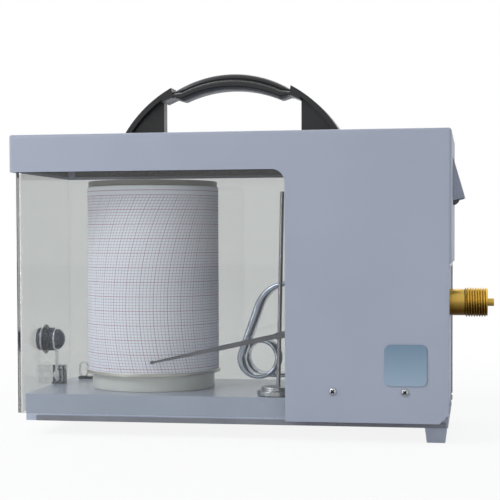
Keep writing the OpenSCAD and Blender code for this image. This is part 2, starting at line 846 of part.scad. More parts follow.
clip_x = tray_in + 13;
clip_y = case_d - tray_in - 12;
clip_base_l = 10;
clip_base_w = 6;
clip_base_t = 2;
loop_w = 7.4;
loop_h = 12;
loop_t = 1.1;
loop_d = 3;
loop_sunk = 0.3;     // flat on the loop's underside

// Low bar on the floor behind the drum, which carries the loop
module clip_base() in_case() color(black) {
    translate([clip_x - clip_base_l/2, clip_y - clip_base_w/2, floor_z])
        cube([clip_base_l, clip_base_w, clip_base_t]);
}

// Upright outline with round ends
module loop_form(w, h, d) {
    for (z = [w/2, h - w/2]) translate([0, -d/2, z]) y_cyl(w, d);
    translate([-w/2, -d/2, w/2]) cube([w, d, h - w]);
}

module nib_clip() in_case() color(ivory) {
    translate([clip_x - 1.5, clip_y, floor_z + clip_base_t - loop_sunk]) difference() {
        loop_form(loop_w, loop_h, loop_d);
        translate([0, 0, loop_t]) loop_form(loop_w - 2*loop_t, loop_h - 2*loop_t, loop_d + 2);
        translate([-loop_w, -loop_w, -loop_w]) cube([2*loop_w, 2*loop_w, loop_w + loop_sunk]);
    }
}

module connector() in_case() color(brass) {
    translate([0, port_y, port_z]) difference() {
        union() {
            translate([plate_in - port_stud_l + sheet_t, 0, 0]) x_cyl(port_stud_d, port_stud_l);
            translate([plate_out, 0, 0]) x_cyl(neck_d, neck_end - plate_out);
            translate([neck_end, 0, 0]) x_cyl(thread_d, thread_l);
            translate([thread_end, 0, 0]) x_cyl(spigot_d, spigot_l);
        }
        translate([plate_in - port_stud_l, 0, 0]) x_cyl(port_bore, port_tip);
    }
}

module connector_locknut() in_case() color(brass) {
    translate([plate_in - locknut_t, port_y, port_z]) difference() {
        rotate([0, 90, 0]) cylinder(d = 24, h = locknut_t, $fn = 6);
        translate([-1, 0, 0]) x_cyl(port_stud_d, locknut_t + 2);
    }
}

pipe_low = socket_z;
pipe_start = coil_at(exit_l + socket_l, -coil_r, coil_turn*turn_pitch);
pipe_bend = coil_at(exit_l + socket_l + 3, -coil_r, coil_turn*turn_pitch);
pipe_run = coil_at(exit_l + socket_l + 6, -coil_r, coil_turn*turn_pitch);
pipe_end_x = plate_in - port_stud_l + sheet_t;
// Place at the share f of the level run behind the movement, s before the middle of the depth
function pipe_at(f, s, h) = [pipe_run[0] + f*(pen_x - pipe_run[0]), port_y - s, pipe_low + h];

// Route of the supply pipe from the socket block to the connector, chosen by hand
pipe_points = [
    pipe_start, pipe_bend, pipe_run,
    pipe_at(0.12, 12, 0), pipe_at(0.22, 4, 0), pipe_at(0.34, 0, 0), pipe_at(0.6, 0, 0),
    pipe_at(0.73, 0, 0.6), pipe_at(0.86, 0, 4), pipe_at(0.95, 0, 11),
    [pen_x - 2, port_y, pipe_low + 20], [pen_x - 2, port_y, port_z - 18],
    [pen_x - 1, port_y, port_z - 9], [pen_x + 3, port_y, port_z - 3],
    [pipe_end_x - 8, port_y, port_z], [pipe_end_x - 4, port_y, port_z],
    [pipe_end_x, port_y, port_z]];

// Points of a smooth curve through p, with n steps between neighbours
function spline(p, n) = [for (i = [0:len(p) - 2], j = [0:n - 1])
    let (a = p[max(i - 1, 0)], b = p[i], c = p[i + 1], d = p[min(i + 2, len(p) - 1)], t = j/n)
    b + t*(c - a)/2 + t*t*(2*a - 5*b + 4*c - d)/2 + t*t*t*(3*b - a - 3*c + d)/2,
    p[len(p) - 1]];

function unit(v) = v/norm(v);

// Direction of the path p at point i
function along(p, i) = unit(p[min(i + 1, len(p) - 1)] - p[max(i - 1, 0)]);

// Solid swept along p. Each ring is the section turned so that its y lies along side[i].
module sweep(p, side, section, swell = []) {
    n = len(section);
    rings = [for (i = [0:len(p) - 1])
        let (t = along(p, i), u = unit(side[i] - (side[i]*t)*t), v = cross(t, u),
            f = len(swell) > 0 ? swell[i] : 1)
        for (s = section) p[i] + s[0]*f*v + s[1]*u];
    last = (len(p) - 1)*n;
    walls = [for (i = [0:len(p) - 2], j = [0:n - 1])
        let (a = i*n + j, b = i*n + (j + 1) % n) each [[a, b, b + n], [a, b + n, a + n]]];
    caps = [for (j = [1:n - 2]) each [[0, j + 1, j], [last, last + j, last + j + 1]]];
    polyhedron(rings, concat(walls, caps));
}

module supply_pipe() in_case() color([0.72, 0.48, 0.32]) {
    route = spline(pipe_points, 3);
    section = [for (a = [0:36:324]) pipe_d/2*[cos(a), sin(a)]];
    sweep(route, [for (q = route) [0, 1, 0.3]], section);
}

module socket_block() in_case() color(brass) {
    translate([exit_at[0], exit_at[1], floor_z]) rotate(-coil_yaw) translate([0, -socket_w/2, 0])
        cube([socket_l, socket_w, socket_top - floor_z]);
}

// Outline of the flattened tube: two flat sides and round edges
tube_section = [for (a = [15:30:345]) [tube_t/2*cos(a), (tube_w - tube_t)/2*sign(sin(a)) + tube_t/2*sin(a)]];
coil_steps = 30;
coil_axis = [sin(coil_yaw), cos(coil_yaw), 0];

// Path of the tube from its free end to the socket: level run, top bend, tail, coil, exit
tube_path = concat(
    [for (i = [0:3]) coil_at(tip_p[0] - i*level_l/4, tip_p[1], 0)],
    [for (i = [0:6]) let (a = 90 + i*(90 - tail_a)/7)
        coil_at(top_c[0] + top_r*cos(a), top_c[1] + top_r*sin(a), 0)],
    [for (i = [0:5]) let (q = tail_end + i/6*(tail_start - tail_end)) coil_at(q[0], q[1], 0)],
    [for (i = [0:coil_steps]) let (f = i/coil_steps, a = coil_from + f*(coil_to - coil_from))
        coil_at(coil_r*cos(a), coil_r*sin(a), f*coil_turn*turn_pitch)],
    [for (i = [1:3]) coil_at(i*exit_l/3, -coil_r, coil_turn*turn_pitch)]);

// How much fuller than the coil each ring of the path is: the top bend swells to the tail, and the
// coil's first fifth shrinks again
tail_full = tail_t/tube_t;
tube_swell = concat([for (i = [0:3]) 1], [for (i = [0:6]) 1 + (tail_full - 1)*i/7], [for (i = [0:5]) tail_full],
    [for (i = [0:coil_steps]) max(1, tail_full - (tail_full - 1)*5*i/coil_steps)], [for (i = [1:3]) 1]);

// Least gap of the tube to itself, between path points more than half a turn apart
half_turn = ceil(coil_steps/coil_turn/2);
self_gap = min([for (i = [0:len(tube_path) - 1], j = [i + half_turn:len(tube_path) - 1])
    let (q = tube_path[j] - tube_path[i], d = abs(q*coil_axis), r = norm(q - (q*coil_axis)*coil_axis))
    max(d - tube_w, r - tube_t)]);
echo(tube_self_gap = self_gap);

module bourdon_tube() in_case() color(steel) {
    sweep(tube_path, [for (q = tube_path) coil_axis], tube_section, tube_swell);
}

clip_l = 7;
tip_pin_back = link_y + link_t + 1.2;

// Closes the tube's free end and carries the pin for the drive link
module tip_clip() in_case() color(dark_steel) {
    translate(tip_at) rotate(-coil_yaw) translate([0, -tube_w/2 - 1, -tube_t/2 - 1.5])
        cube([clip_l, tube_w + 2, tube_t + 3]);
    translate([tip_pin[0], tip_at[1], tip_pin[1]]) y_cyl(link_pin_d, tip_pin_back - tip_at[1]);
}

bush_d = 6;
bush_head = 9;

slot_w = 10;
slot_edge = 14;
floor_screw_x = 6;
floor_screw_y = (bracket_front + bracket_back + bracket_t)/2;
floor_screw_places = [for (s = [-1, 1]) [pen_x + s*floor_screw_x, floor_screw_y]];

module movement_bracket() in_case() color(steel) {
    difference() {
        union() {
            translate([bracket_x0, bracket_front, floor_z])
                cube([bracket_l, bracket_span + bracket_t, bracket_t]);
            for (y = [bracket_front, bracket_back]) {
                translate([bracket_x0, y, floor_z]) cube([bracket_l, bracket_t, pen_z - floor_z]);
                translate([pen_x, y, pen_z]) y_cyl(bracket_l, bracket_t);
            }
        }
        for (y = [bracket_front, bracket_back])
            translate([pen_x, y - 1, pen_z]) y_cyl(bush_d, bracket_t + 2);
        // window in the uprights
        for (y = [bracket_front, bracket_back])
            translate([pen_x - slot_w/2, y - 1, floor_z + slot_edge])
                cube([slot_w, bracket_t + 2, pen_z - floor_z - 2*slot_edge]);
        for (p = floor_screw_places) translate([p[0], p[1], floor_z - 1])
            cylinder(d = bracket_hole, h = bracket_t + 2);
    }
}

module shaft_bushes() in_case() color(brass) {
    for (y = [bracket_front, bracket_back]) translate([pen_x, y, pen_z]) difference() {
        union() {
            y_cyl(bush_d, bracket_t);
            translate([0, bracket_t, 0]) y_cyl(bush_head, 1.5);
        }
        translate([0, -1, 0]) y_cyl(shaft_d + 2*run, bracket_t + 4);
    }
}

module floor_screw(z) {
    translate([0, 0, z]) pan_head(screw_head_d, head_t);
    translate([0, 0, z - bracket_t]) cylinder(d = bracket_hole, h = bracket_t);
}

module floor_screws() in_case() color(steel) {
    for (p = floor_screw_places) translate([p[0], p[1], 0]) floor_screw(bracket_foot_z);
}

seat_wall = 3;

// Ivory seat fixed to the floor, with a recess for the gears
module drum_seat() in_case() color(ivory) {
    translate([drum_x, drum_y, floor_z]) difference() {
        cylinder(r = seat_r, h = seat_h);
        translate([0, 0, gear_z - floor_z - 1]) difference() {
            cylinder(r = seat_r - seat_wall, h = seat_h);
            cylinder(d = spindle_d + 8, h = 1);
        }
        translate([0, 0, 2]) cylinder(d = spindle_d, h = seat_h);
    }
}

nut_z = chart_top - 3;
nut_h = 6;

module drum_spindle() in_case() color(steel) {
    translate([drum_x, drum_y, floor_z + 2]) cylinder(d = spindle_d, h = nut_z + nut_h - 1 - floor_z - 2);
}

// Spur gear with straight-sided teeth on its pitch circle
module spur(teeth, t) {
    rp = gear_module*teeth/2;
    root = rp - 1.15*gear_module;
    tip = rp + 0.85*gear_module;
    at_root = 360/teeth*0.31;
    at_tip = 360/teeth*0.12;
    linear_extrude(t) union() {
        circle(r = root + 0.1);
        for (i = [0:teeth - 1]) rotate(i*360/teeth)
            polygon([[root*cos(at_root), -root*sin(at_root)], [tip*cos(at_tip), -tip*sin(at_tip)],
                [tip*cos(at_tip), tip*sin(at_tip)], [root*cos(at_root), root*sin(at_root)]]);
    }
}

module fixed_gear() in_case() color(brass) {
    translate([drum_x, drum_y, gear_z]) difference() {
        spur(sun_teeth, gear_t);
        translate([0, 0, -1]) cylinder(d = spindle_d, h = gear_t + 2);
    }
}

spindle_nut_d = 18;

module spindle_nut() in_case() color(steel) {
    translate([drum_x, drum_y, nut_z]) difference() {
        cylinder(d = spindle_nut_d, h = nut_h);
        translate([0, 0, -1]) cylinder(d = spindle_d, h = nut_h);
    }
}

clock_r = 16;
clock_h = 38;
battery_d = 14.5;
battery_l = 50.5;
battery_y = drum_y + 12;
pinion_shaft_d = 2.5;
pinion_top = chart_z + 6;

// Thin cup with the flange that the chart stands on
module drum_shell() in_case() color([0.70, 0.71, 0.70]) {
    translate([drum_x, drum_y, 0]) difference() {
        union() {
            translate([0, 0, flange_z]) cylinder(r = drum_r + flange_out, h = flange_t);
            translate([0, 0, chart_z]) cylinder(r = drum_r, h = chart_h + 0.6);
        }
        translate([0, 0, chart_z]) cylinder(r = drum_r - wall_t, h = chart_h + 1);
        translate([0, 0, flange_z - 1]) cylinder(d = spindle_d + 2*run, h = flange_t + 2);
        translate([gear_centres, 0, flange_z - 1]) cylinder(d = pinion_shaft_d + 2*run, h = flange_t + 2);
    }
}

cap_floor = nut_z - gap - 2;

module drum_cap() in_case() color([0.33, 0.34, 0.30]) {
    translate([drum_x, drum_y, 0]) difference() {
        union() {
            translate([0, 0, cap_floor]) cylinder(r = drum_r - wall_t, h = chart_top + 0.6 - cap_floor);
            translate([0, 0, chart_top + 0.6]) cylinder(r = drum_r - 0.6, h = rim_h - 0.6);
        }
        translate([0, 0, cap_floor + 2]) cylinder(r = drum_r - wall_t - 3, h = rim_top - cap_floor);
        translate([0, 0, cap_floor - 1]) cylinder(d = spindle_d + 2*run, h = 4);
    }
}

module chart_paper() in_case() color("white") {
    translate([drum_x, drum_y, chart_z]) difference() {
        cylinder(r = paper_r, h = chart_h);
        translate([0, 0, -1]) cylinder(r = drum_r, h = chart_h + 2);
    }
}

clip_w = 6;
clip_t = 0.7;
clip_turn = 110;

// Sprung strip that holds the chart's ends to the drum
module chart_clip() in_case() color(steel) {
    translate([drum_x, drum_y, chart_z]) rotate(clip_turn) intersection() {
        difference() {
            cylinder(r = paper_r + clip_t, h = chart_h);
            translate([0, 0, -1]) cylinder(r = paper_r, h = chart_h + 2);
        }
        translate([0, -clip_w/2, -1]) cube([2*drum_r, clip_w, chart_h + 2]);
    }
}

module clock_case() in_case() color(black) {
    translate([pinion_x, drum_y, chart_z]) difference() {
        cylinder(r = clock_r, h = clock_h);
        translate([0, 0, -1]) cylinder(d = pinion_shaft_d + 2*run, h = pinion_top - chart_z + 1.5);
    }
}

module battery() in_case() color([0.75, 0.58, 0.25]) {
    translate([drum_x - 22, battery_y, chart_z]) {
        cylinder(d = battery_d, h = battery_l - 1.5);
        cylinder(d = 5, h = battery_l);
    }
}

module clock_pinion() in_case() color(brass) {
    translate([pinion_x, drum_y, gear_z]) {
        rotate(180 + 180/pinion_teeth) spur(pinion_teeth, gear_t);
        cylinder(d = pinion_shaft_d, h = pinion_top - gear_z);
    }
}

// Frame of the pen: its axis along y through the origin, the arm along -x
module pen_frame() {
    translate([pen_x, 0, pen_z]) rotate([0, -pen_drop, 0]) children();
}

module pen_shaft() in_case() color(steel) {
    translate([pen_x, shaft_front, pen_z]) y_cyl(shaft_d, shaft_back - shaft_front);
}

hub_l = hub_back - hub_front;
fork_past = 3.4;     // how far the fork reaches past its hinge pin
fork_root = 5.3;

// Hub on the pen's shaft whose fork holds the hinge that lets the arm be lifted off the chart
module gate_fork() in_case() color(brass) {
    pen_frame() difference() {
        union() {
            translate([0, hub_front, 0]) y_cyl(hub_d, hub_l);
            for (s = [-1, 1])
                translate([-gate_x - fork_past, hub_front, s*(gate_half + gap + fork_t/2) - fork_t/2])
                    cube([gate_x + fork_past, hub_l, fork_t]);
        }
        translate([0, hub_front - 1, 0]) y_cyl(shaft_d, hub_l + 2);
        // room for the block between the fork's arms
        translate([-gate_x - fork_past - 1, hub_front - 1, -gate_half - gap])
            cube([gate_x + fork_past + 1 - fork_root, hub_l + 2, 2*(gate_half + gap)]);
    }
    pen_frame() translate([-gate_x, arm_mid, -gate_half - gap - fork_t])
        cylinder(d = gate_pin_d, h = 2*(gate_half + gap + fork_t));
}

crank_w = 5;

module crank() in_case() color(brass) {
    translate([pen_x, crank_y, pen_z]) difference() {
        union() {
            translate([0, -crank_t, 0]) y_cyl(hub_d, 2*crank_t);
            rotate([0, -crank_a, 0]) {
                translate([0, 0, -crank_w/2]) cube([crank_r, crank_t, crank_w]);
                translate([crank_r, 0, 0]) y_cyl(crank_w, crank_t);
                translate([crank_r, 0, 0]) y_cyl(link_pin_d, crank_t + gap + link_t + 0.8);
            }
        }
        translate([0, -crank_t - 1, 0]) y_cyl(shaft_d, 2*crank_t + 2);
    }
}

// Block that turns on the fork's pin and holds the arm
module gate_block() in_case() color(brass) {
    pen_frame() difference() {
        translate([-gate_x - 6.5, arm_front, -gate_half])
            cube([9.5, arm_back + 1.6 - arm_front, 2*gate_half]);
        translate([-gate_x, arm_mid, -gate_half - 1]) cylinder(d = gate_pin_d + 2*run, h = 2*gate_half + 2);
    }
}

module arm_holder() in_case() color(dark_steel) {
    pen_frame() translate([-holder_end, holder_front, -gate_half])
        cube([holder_end - gate_x - 3, arm_t, 2*gate_half]);
}

module pen_arm() in_case() color([0.55, 0.56, 0.57]) {
    pen_frame() translate([0, arm_back, 0]) rotate([90, 0, 0]) linear_extrude(arm_t)
        polygon([[-holder_end + arm_lap, arm_h/2], [-pen_len + arm_taper, arm_h*0.46],
            [-pen_len - 0.8, arm_tip_h/2], [-pen_len - 0.8, -arm_tip_h/2],
            [-pen_len + arm_taper, -arm_h*0.46], [-holder_end + arm_lap, -arm_h/2]]);
}

module pen_nib() in_case() color(dark_steel) {
    pen_frame() translate([-pen_len, arm_back, 0]) rotate([-90, 0, 0]) rotate_extrude()
        polygon([[0, 0], [1.3, 0], [1.3, nib_l*0.55], [0.35, nib_l], [0, nib_l]]);
}

link_dir = unit([tip_pin[0] - crank_pin[0], 0, tip_pin[1] - crank_pin[1]]);
link_a = atan2(link_dir[2], link_dir[0]);
link_rest = norm(tip_pin - crank_pin);
link_travel = 2*crank_r*sin(21);
link_h = 7;
slot_play = 0.8;     // room across the slot for the crank's arc

// Link from the tube's free end to the crank, slotted where it meets the tube
module drive_link() in_case() color(steel) {
    translate([crank_pin[0], link_y, crank_pin[1]]) rotate([0, -link_a, 0]) difference() {
        union() {
            y_cyl(link_h, link_t);
            translate([0, 0, -link_h/2]) cube([link_rest + 4, link_t, link_h]);
        }
        translate([0, -1, 0]) y_cyl(link_pin_d + 2*run, link_t + 2);
        translate([link_rest - link_travel - 2, -1, -link_pin_d/2 - gap - slot_play])
            cube([link_travel + 4, link_t + 2, link_pin_d + 2*(gap + slot_play)]);
    }
}

module lifter_disc() in_case() color([0.42, 0.40, 0.36]) {
    translate([lifter_x, lifter_y, disc_z]) {
        cylinder(r = lifter_r, h = disc_t);
        translate([0, 0, disc_t]) cylinder(r = lifter_r - step_in, h = step_t);
    }
}

module lifter_rod() in_case() color(steel) {
    translate([lifter_x + rod_x, lifter_y + rod_y, disc_z + disc_t + step_t]) difference() {
        translate([0, 0, -1]) rotate([0, rod_lean, 0]) cylinder(d = rod_d, h = rod_l + 1);
        translate([-5, -5, -5]) cube([10, 10, 5]);
    }
}

hood_shell();
window_panes();
window_tape();
handle();
handle_screws();
badge_plate();
stop_angles();
panel_screws();
panel_nuts();
side_cowl();
cowl_grommet();
lock_barrel();
lock_nut();
lock_knob();
lock_ring();
lock_dome();
lock_cam();
base_tray();
edge_strip();
side_plate();
side_screws();
feet();
foot_screws();
hinge_base_leaf();
hinge_pin();
hinge_hood_leaf();
lock_keeper();
keeper_pin();
clip_base();
nib_clip();
connector();
connector_locknut();
supply_pipe();
socket_block();
bourdon_tube();
tip_clip();
movement_bracket();
shaft_bushes();
floor_screws();
drum_seat();
drum_spindle();
fixed_gear();
spindle_nut();
drum_shell();
drum_cap();
chart_paper();
chart_clip();
clock_case();
battery();
clock_pinion();
pen_shaft();
gate_fork();
crank();
gate_block();
arm_holder();
pen_arm();
pen_nib();
drive_link();
lifter_disc();
lifter_rod();
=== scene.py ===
# Pressure chart recorder: a painted sheet hood with a clear wrap-round window over a base
# that carries a chart drum, a coiled Bourdon tube, its pen and a threaded brass connector.
import json
import math

import bmesh
import bpy
from mathutils import Matrix, Vector


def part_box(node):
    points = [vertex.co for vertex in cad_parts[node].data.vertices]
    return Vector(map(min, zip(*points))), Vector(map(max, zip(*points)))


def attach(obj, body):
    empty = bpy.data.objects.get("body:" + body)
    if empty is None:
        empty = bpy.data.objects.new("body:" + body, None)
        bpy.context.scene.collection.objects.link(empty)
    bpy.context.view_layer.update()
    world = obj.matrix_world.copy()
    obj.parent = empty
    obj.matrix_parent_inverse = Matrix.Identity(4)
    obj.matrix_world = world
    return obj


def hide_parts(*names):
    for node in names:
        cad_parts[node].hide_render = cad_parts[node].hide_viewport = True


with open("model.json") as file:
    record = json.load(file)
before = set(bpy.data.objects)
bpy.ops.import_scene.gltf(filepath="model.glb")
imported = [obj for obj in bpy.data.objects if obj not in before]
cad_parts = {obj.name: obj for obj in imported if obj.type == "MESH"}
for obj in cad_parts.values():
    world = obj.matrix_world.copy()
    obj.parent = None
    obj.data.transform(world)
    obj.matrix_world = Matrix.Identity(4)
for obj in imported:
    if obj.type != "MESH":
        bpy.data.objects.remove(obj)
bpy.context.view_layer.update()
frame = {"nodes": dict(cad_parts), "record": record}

# Camera
# It stands where the photograph was taken from: in front, to the right of the middle, with
# a long lens. The principal point lies below the picture's middle, which the shift gives.
MM = 0.001
camera_place = Vector((156.3, -953.8, 138.3)) * MM
camera_yaw, camera_down, camera_roll = map(math.radians, (9.605, 1.872, -0.216))
# the photograph's width, the lens's focal length and the principal point, in its pixels
photo_px, focal_px = 500, 1327.1
middle_px = Vector((251.26, 281.86))

camera = bpy.data.cameras.new("camera")
camera.sensor_width = 36
camera.lens = focal_px / photo_px * camera.sensor_width
camera.shift_x = (photo_px / 2 - middle_px.x) / photo_px
camera.shift_y = (middle_px.y - photo_px / 2) / photo_px
camera_object = bpy.data.objects.new("camera", camera)
camera_object.location = camera_place
camera_object.rotation_euler = (
    Matrix.Rotation(camera_yaw, 3, "Z")
    @ Matrix.Rotation(math.pi / 2 - camera_down, 3, "X")
    @ Matrix.Rotation(camera_roll, 3, "Z")
).to_euler()
bpy.context.scene.collection.objects.link(camera_object)
bpy.context.scene.camera = camera_object
bpy.context.scene.view_settings.view_transform = "Standard"


# Studio
# A white table in a white room. The eye sees the room plain white, and so do gloss and the
# window; the light that falls on the object is softer, and the table keeps a faint shadow.
def colour(hex_code):
    """An sRGB hex value as linear RGBA."""
    srgb = [int(hex_code[i : i + 2], 16) / 255 for i in (0, 2, 4)]
    return [c / 12.92 if c <= 0.04045 else ((c + 0.055) / 1.055) ** 2.4 for c in srgb] + [1]


def feed(tree, node, inputs):
    """Sets a node's sockets to values, or links them to a socket or to the first output a node has in use."""
    for name, value in inputs.items():
        if isinstance(value, bpy.types.Node):
            value = next(output for output in value.outputs if output.enabled)
        if isinstance(value, bpy.types.NodeSocket):
            tree.links.new(value, node.inputs[name])
        else:
            node.inputs[name].default_value = value


def add(tree, kind, inputs=None, **settings):
    """Adds one node with its own settings, and feeds its inputs."""
    node = tree.nodes.new(kind)
    for name, value in settings.items():
        setattr(node, name, value)
    feed(tree, node, inputs or {})
    return node


def blank_tree(holder):
    """The emptied node tree of a world or a material."""
    holder.use_nodes = True
    holder.node_tree.nodes.clear()
    return holder.node_tree


def for_rays(tree, *kinds):
    """1 for rays of any of these kinds, which are the Light Path node's own names, and 0 for the others."""
    rays = add(tree, "ShaderNodeLightPath").outputs
    found = rays[kinds[0]]
    for kind in kinds[1:]:
        found = add(tree, "ShaderNodeMath", {0: found, 1: rays[kind]}, operation="MAXIMUM")
    return found


world = bpy.data.worlds.new("white_room")
tree = blank_tree(world)
room_light = add(tree, "ShaderNodeBackground", {"Color": colour("ECEFF4"), "Strength": 0.6})
room_white = add(tree, "ShaderNodeBackground", {"Color": colour("FFFFFF"), "Strength": 1.0})
seen = for_rays(tree, "Is Camera Ray", "Is Glossy Ray", "Is Transmission Ray")
room = add(tree, "ShaderNodeMixShader", {"Fac": seen, 1: room_light, 2: room_white})
add(tree, "ShaderNodeOutputWorld", {"Surface": room})
bpy.context.scene.world = world

aim = Vector((0, 0, 0.11))


def lamp(name, place, size, watts, hue, height=None):
    """A soft lamp that looks at the object's middle: a square one, or a strip where a height is given."""
    light = bpy.data.lights.new(name, "AREA")
    light.size, light.energy, light.color = size, watts, colour(hue)[:3]
    if height is not None:
        light.shape, light.size_y = "RECTANGLE", height
    light_object = bpy.data.objects.new(name, light)
    light_object.location = place
    light_object.rotation_euler = (aim - Vector(place)).to_track_quat("-Z", "Y").to_euler()
    bpy.context.scene.collection.objects.link(light_object)


lamp("window_side", (-1.3, -1.05, 1.4), 0.9, 20.5, "F3F6FF")
lamp("fill", (1.4, -1.2, 0.6), 1.2, 1.5, "FFFFFF")
lamp("rim", (-0.3, 1.5, 1.2), 1.0, 6, "FFFFFF")
# a narrow upright strip draws the bright line along round metal
lamp("strip", (-1.2, -1.25, 0.25), 0.08, 2.6, "FFFFFF", height=0.8)


def as_piece(form, name):
    """A new object from a finished bmesh, which is used up."""
    made = bpy.data.meshes.new(name)
    form.to_mesh(made)
    form.free()
    piece = bpy.data.objects.new(name, made)
    bpy.context.scene.collection.objects.link(piece)
    return piece


table_half = 6.0
form = bmesh.new()
bmesh.ops.create_grid(form, x_segments=1, y_segments=1, size=table_half)
table_top = as_piece(form, "table_top")
white_table = bpy.data.materials.new("white_table")
tree = blank_tree(white_table)
shaded = add(tree, "ShaderNodeBsdfDiffuse", {"Color": colour("F4F4F4")})
plain = add(tree, "ShaderNodeEmission", {"Color": colour("FFFFFF"), "Strength": 1.0})
place = add(tree, "ShaderNodeTexCoord").outputs["Object"]
away = add(tree, "ShaderNodeVectorMath", {0: place}, operation="LENGTH")
# the eye sees an eighth of the table's own shade near the object, and none of it from 0.75 m on
fade = add(tree, "ShaderNodeMapRange", {"Value": away, "From Min": 0.22, "From Max": 0.75,
           "To Min": 0.88, "To Max": 1.0}, interpolation_type="SMOOTHSTEP")
seen = for_rays(tree, "Is Camera Ray", "Is Transmission Ray")
share = add(tree, "ShaderNodeMath", {0: seen, 1: fade}, operation="MULTIPLY")
mixed = add(tree, "ShaderNodeMixShader", {"Fac": share, 1: shaded, 2: plain})
add(tree, "ShaderNodeOutputMaterial", {"Surface": mixed})
table_top.data.materials.append(white_table)

# Hood, side cowl and side plate
# Folded 1.5 mm steel sheet with a satin polyester powder coat, light blue-grey. The cut
# edges are dressed round before they are coated, so they catch a thin line of light.
nodes = frame["nodes"]
body_of = {node: body for body, members in frame["record"]["behaviour"]["bodies"].items() for node in members}


def start_material(name, **inputs):
    """A material with one Principled shader and values for its sockets, with _ for a space in a name."""
    made = bpy.data.materials.new(name)
    made.use_nodes = True
    shader = made.node_tree.nodes["Principled BSDF"]
    feed(made.node_tree, shader, {socket.replace("_", " "): value for socket, value in inputs.items()})
    return made, made.node_tree, shader


def grain(tree, shader, size, depth, detail=2.0):
    """Bump of a noise whose lumps are about size across and depth high, in millimetres."""
    place = add(tree, "ShaderNodeTexCoord").outputs["Object"]
    drawn = add(tree, "ShaderNodeMapping", {"Vector": place, "Scale": [1 / (size * MM)] * 3})
    noise = add(tree, "ShaderNodeTexNoise", {"Vector": drawn, "Scale": 1.0, "Detail": detail})
    bump = add(tree, "ShaderNodeBump", {"Height": noise, "Strength": 0.6, "Distance": depth * MM})
    feed(tree, shader, {"Normal": bump})


def tint(tree, shader, size, low, high, socket="Base Color"):
    """Drift between two sRGB colours, or numbers, over patches of about this size in millimetres."""
    place = add(tree, "ShaderNodeTexCoord").outputs["Object"]
    noise = add(tree, "ShaderNodeTexNoise", {"Vector": place, "Scale": 1 / (size * MM), "Detail": 3.0})
    drift = add(tree, "ShaderNodeMapRange", {"Value": noise, "From Min": 0.3, "From Max": 0.7})
    if socket == "Base Color":
        drift = add(tree, "ShaderNodeMix", {"Factor": drift, "A": colour(low), "B": colour(high)},
                    data_type="RGBA")
    else:
        feed(tree, drift, {"To Min": low, "To Max": high})
    feed(tree, shader, {socket: drift})


def stand_for(piece, finish, node):
    """Gives a piece its finish and puts it in the place of a CAD node, on its body."""
    piece.data.materials.clear()
    piece.data.materials.append(finish)
    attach(piece, body_of[node])
    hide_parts(node)


def paint(finish, *names):
    """Gives CAD nodes, whose shape is right as it is, their finish."""
    for name in names:
        nodes[name].data.materials.clear()
        nodes[name].data.materials.append(finish)


def shade_smooth(piece, angle):
    """Shades a piece's faces as one where they meet at less than this angle, in degrees."""
    piece.data.shade_smooth()
    piece.data.set_sharp_from_angle(angle=math.radians(angle))


def soften(piece, width, segments=2, angle=32):
    """Rounds a piece's edges by width, in millimetres, where they are sharper than angle, in degrees."""
    bevel = piece.modifiers.new("eased_edges", "BEVEL")
    bevel.width, bevel.segments, bevel.limit_method = width * MM, segments, "ANGLE"
    bevel.angle_limit, bevel.harden_normals, bevel.use_clamp_overlap = math.radians(angle), True, True
    shade_smooth(piece, angle)


def merged(node):
    """A bmesh of a CAD node, whose loose triangles are joined at their corners."""
    form = bmesh.new()
    form.from_mesh(nodes[node].data)
    bmesh.ops.remove_doubles(form, verts=form.verts, dist=0.002 * MM)
    return form


def join_flats(form):
    """Turns the triangles of each flat face into one face."""
    bmesh.ops.dissolve_limit(form, angle_limit=math.radians(0.4), verts=form.verts, edges=form.edges)


def eased(node, finish, width, segments=2, angle=32):
    """Stands a merged copy of a CAD node in its place, with its sharp edges rounded as soften does."""
    form = merged(node)
    join_flats(form)
    piece = as_piece(form, node + "_eased")
    # the normals that the node carries would shade over the new edges
    if "custom_normal" in piece.data.attributes:
        piece.data.attributes.remove(piece.data.attributes["custom_normal"])
    soften(piece, width, segments, angle)
    stand_for(piece, finish, node)


# powder coat: soft gloss, an orange peel of about 0.9 mm, colour even but for a faint drift
powder_coat, tree, shader = start_material("powder_coat", Roughness=0.42, IOR=1.5)
grain(tree, shader, 0.9, 0.012)
tint(tree, shader, 70, "9DA3B0", "A2A8B5")
eased("hood_shell", powder_coat, 0.35)
eased("side_cowl", powder_coat, 0.6)
eased("side_plate", powder_coat, 0.3)

# Window
# Three panes heat-bent from one 3 mm sheet of clear cast acrylic with polished edges, held to
# the inside of the hood by black foam tape. It has the faint grey of a sheet some years old.
acrylic = bpy.data.materials.new("cast_acrylic")
tree = blank_tree(acrylic)
# clear and glossy to the eye, and no hindrance to the light that falls through it
glass = add(tree, "ShaderNodeBsdfPrincipled", {"Base Color": colour("DBDDDC"), "Roughness": 0.015,
            "IOR": 1.49, "Transmission Weight": 1.0})
open_air = add(tree, "ShaderNodeBsdfTransparent", {"Color": colour("FFFFFF")})
lighting = for_rays(tree, "Is Shadow Ray", "Is Diffuse Ray")
both = add(tree, "ShaderNodeMixShader", {"Fac": lighting, 1: glass, 2: open_air})
add(tree, "ShaderNodeOutputMaterial", {"Surface": both})
paint(acrylic, "window_panes")

# foam tape: matt, fine closed cells
foam_tape, tree, shader = start_material("foam_tape", Base_Color=colour("1B1B1C"), Roughness=0.9)
grain(tree, shader, 0.5, 0.06)
paint(foam_tape, "window_tape")


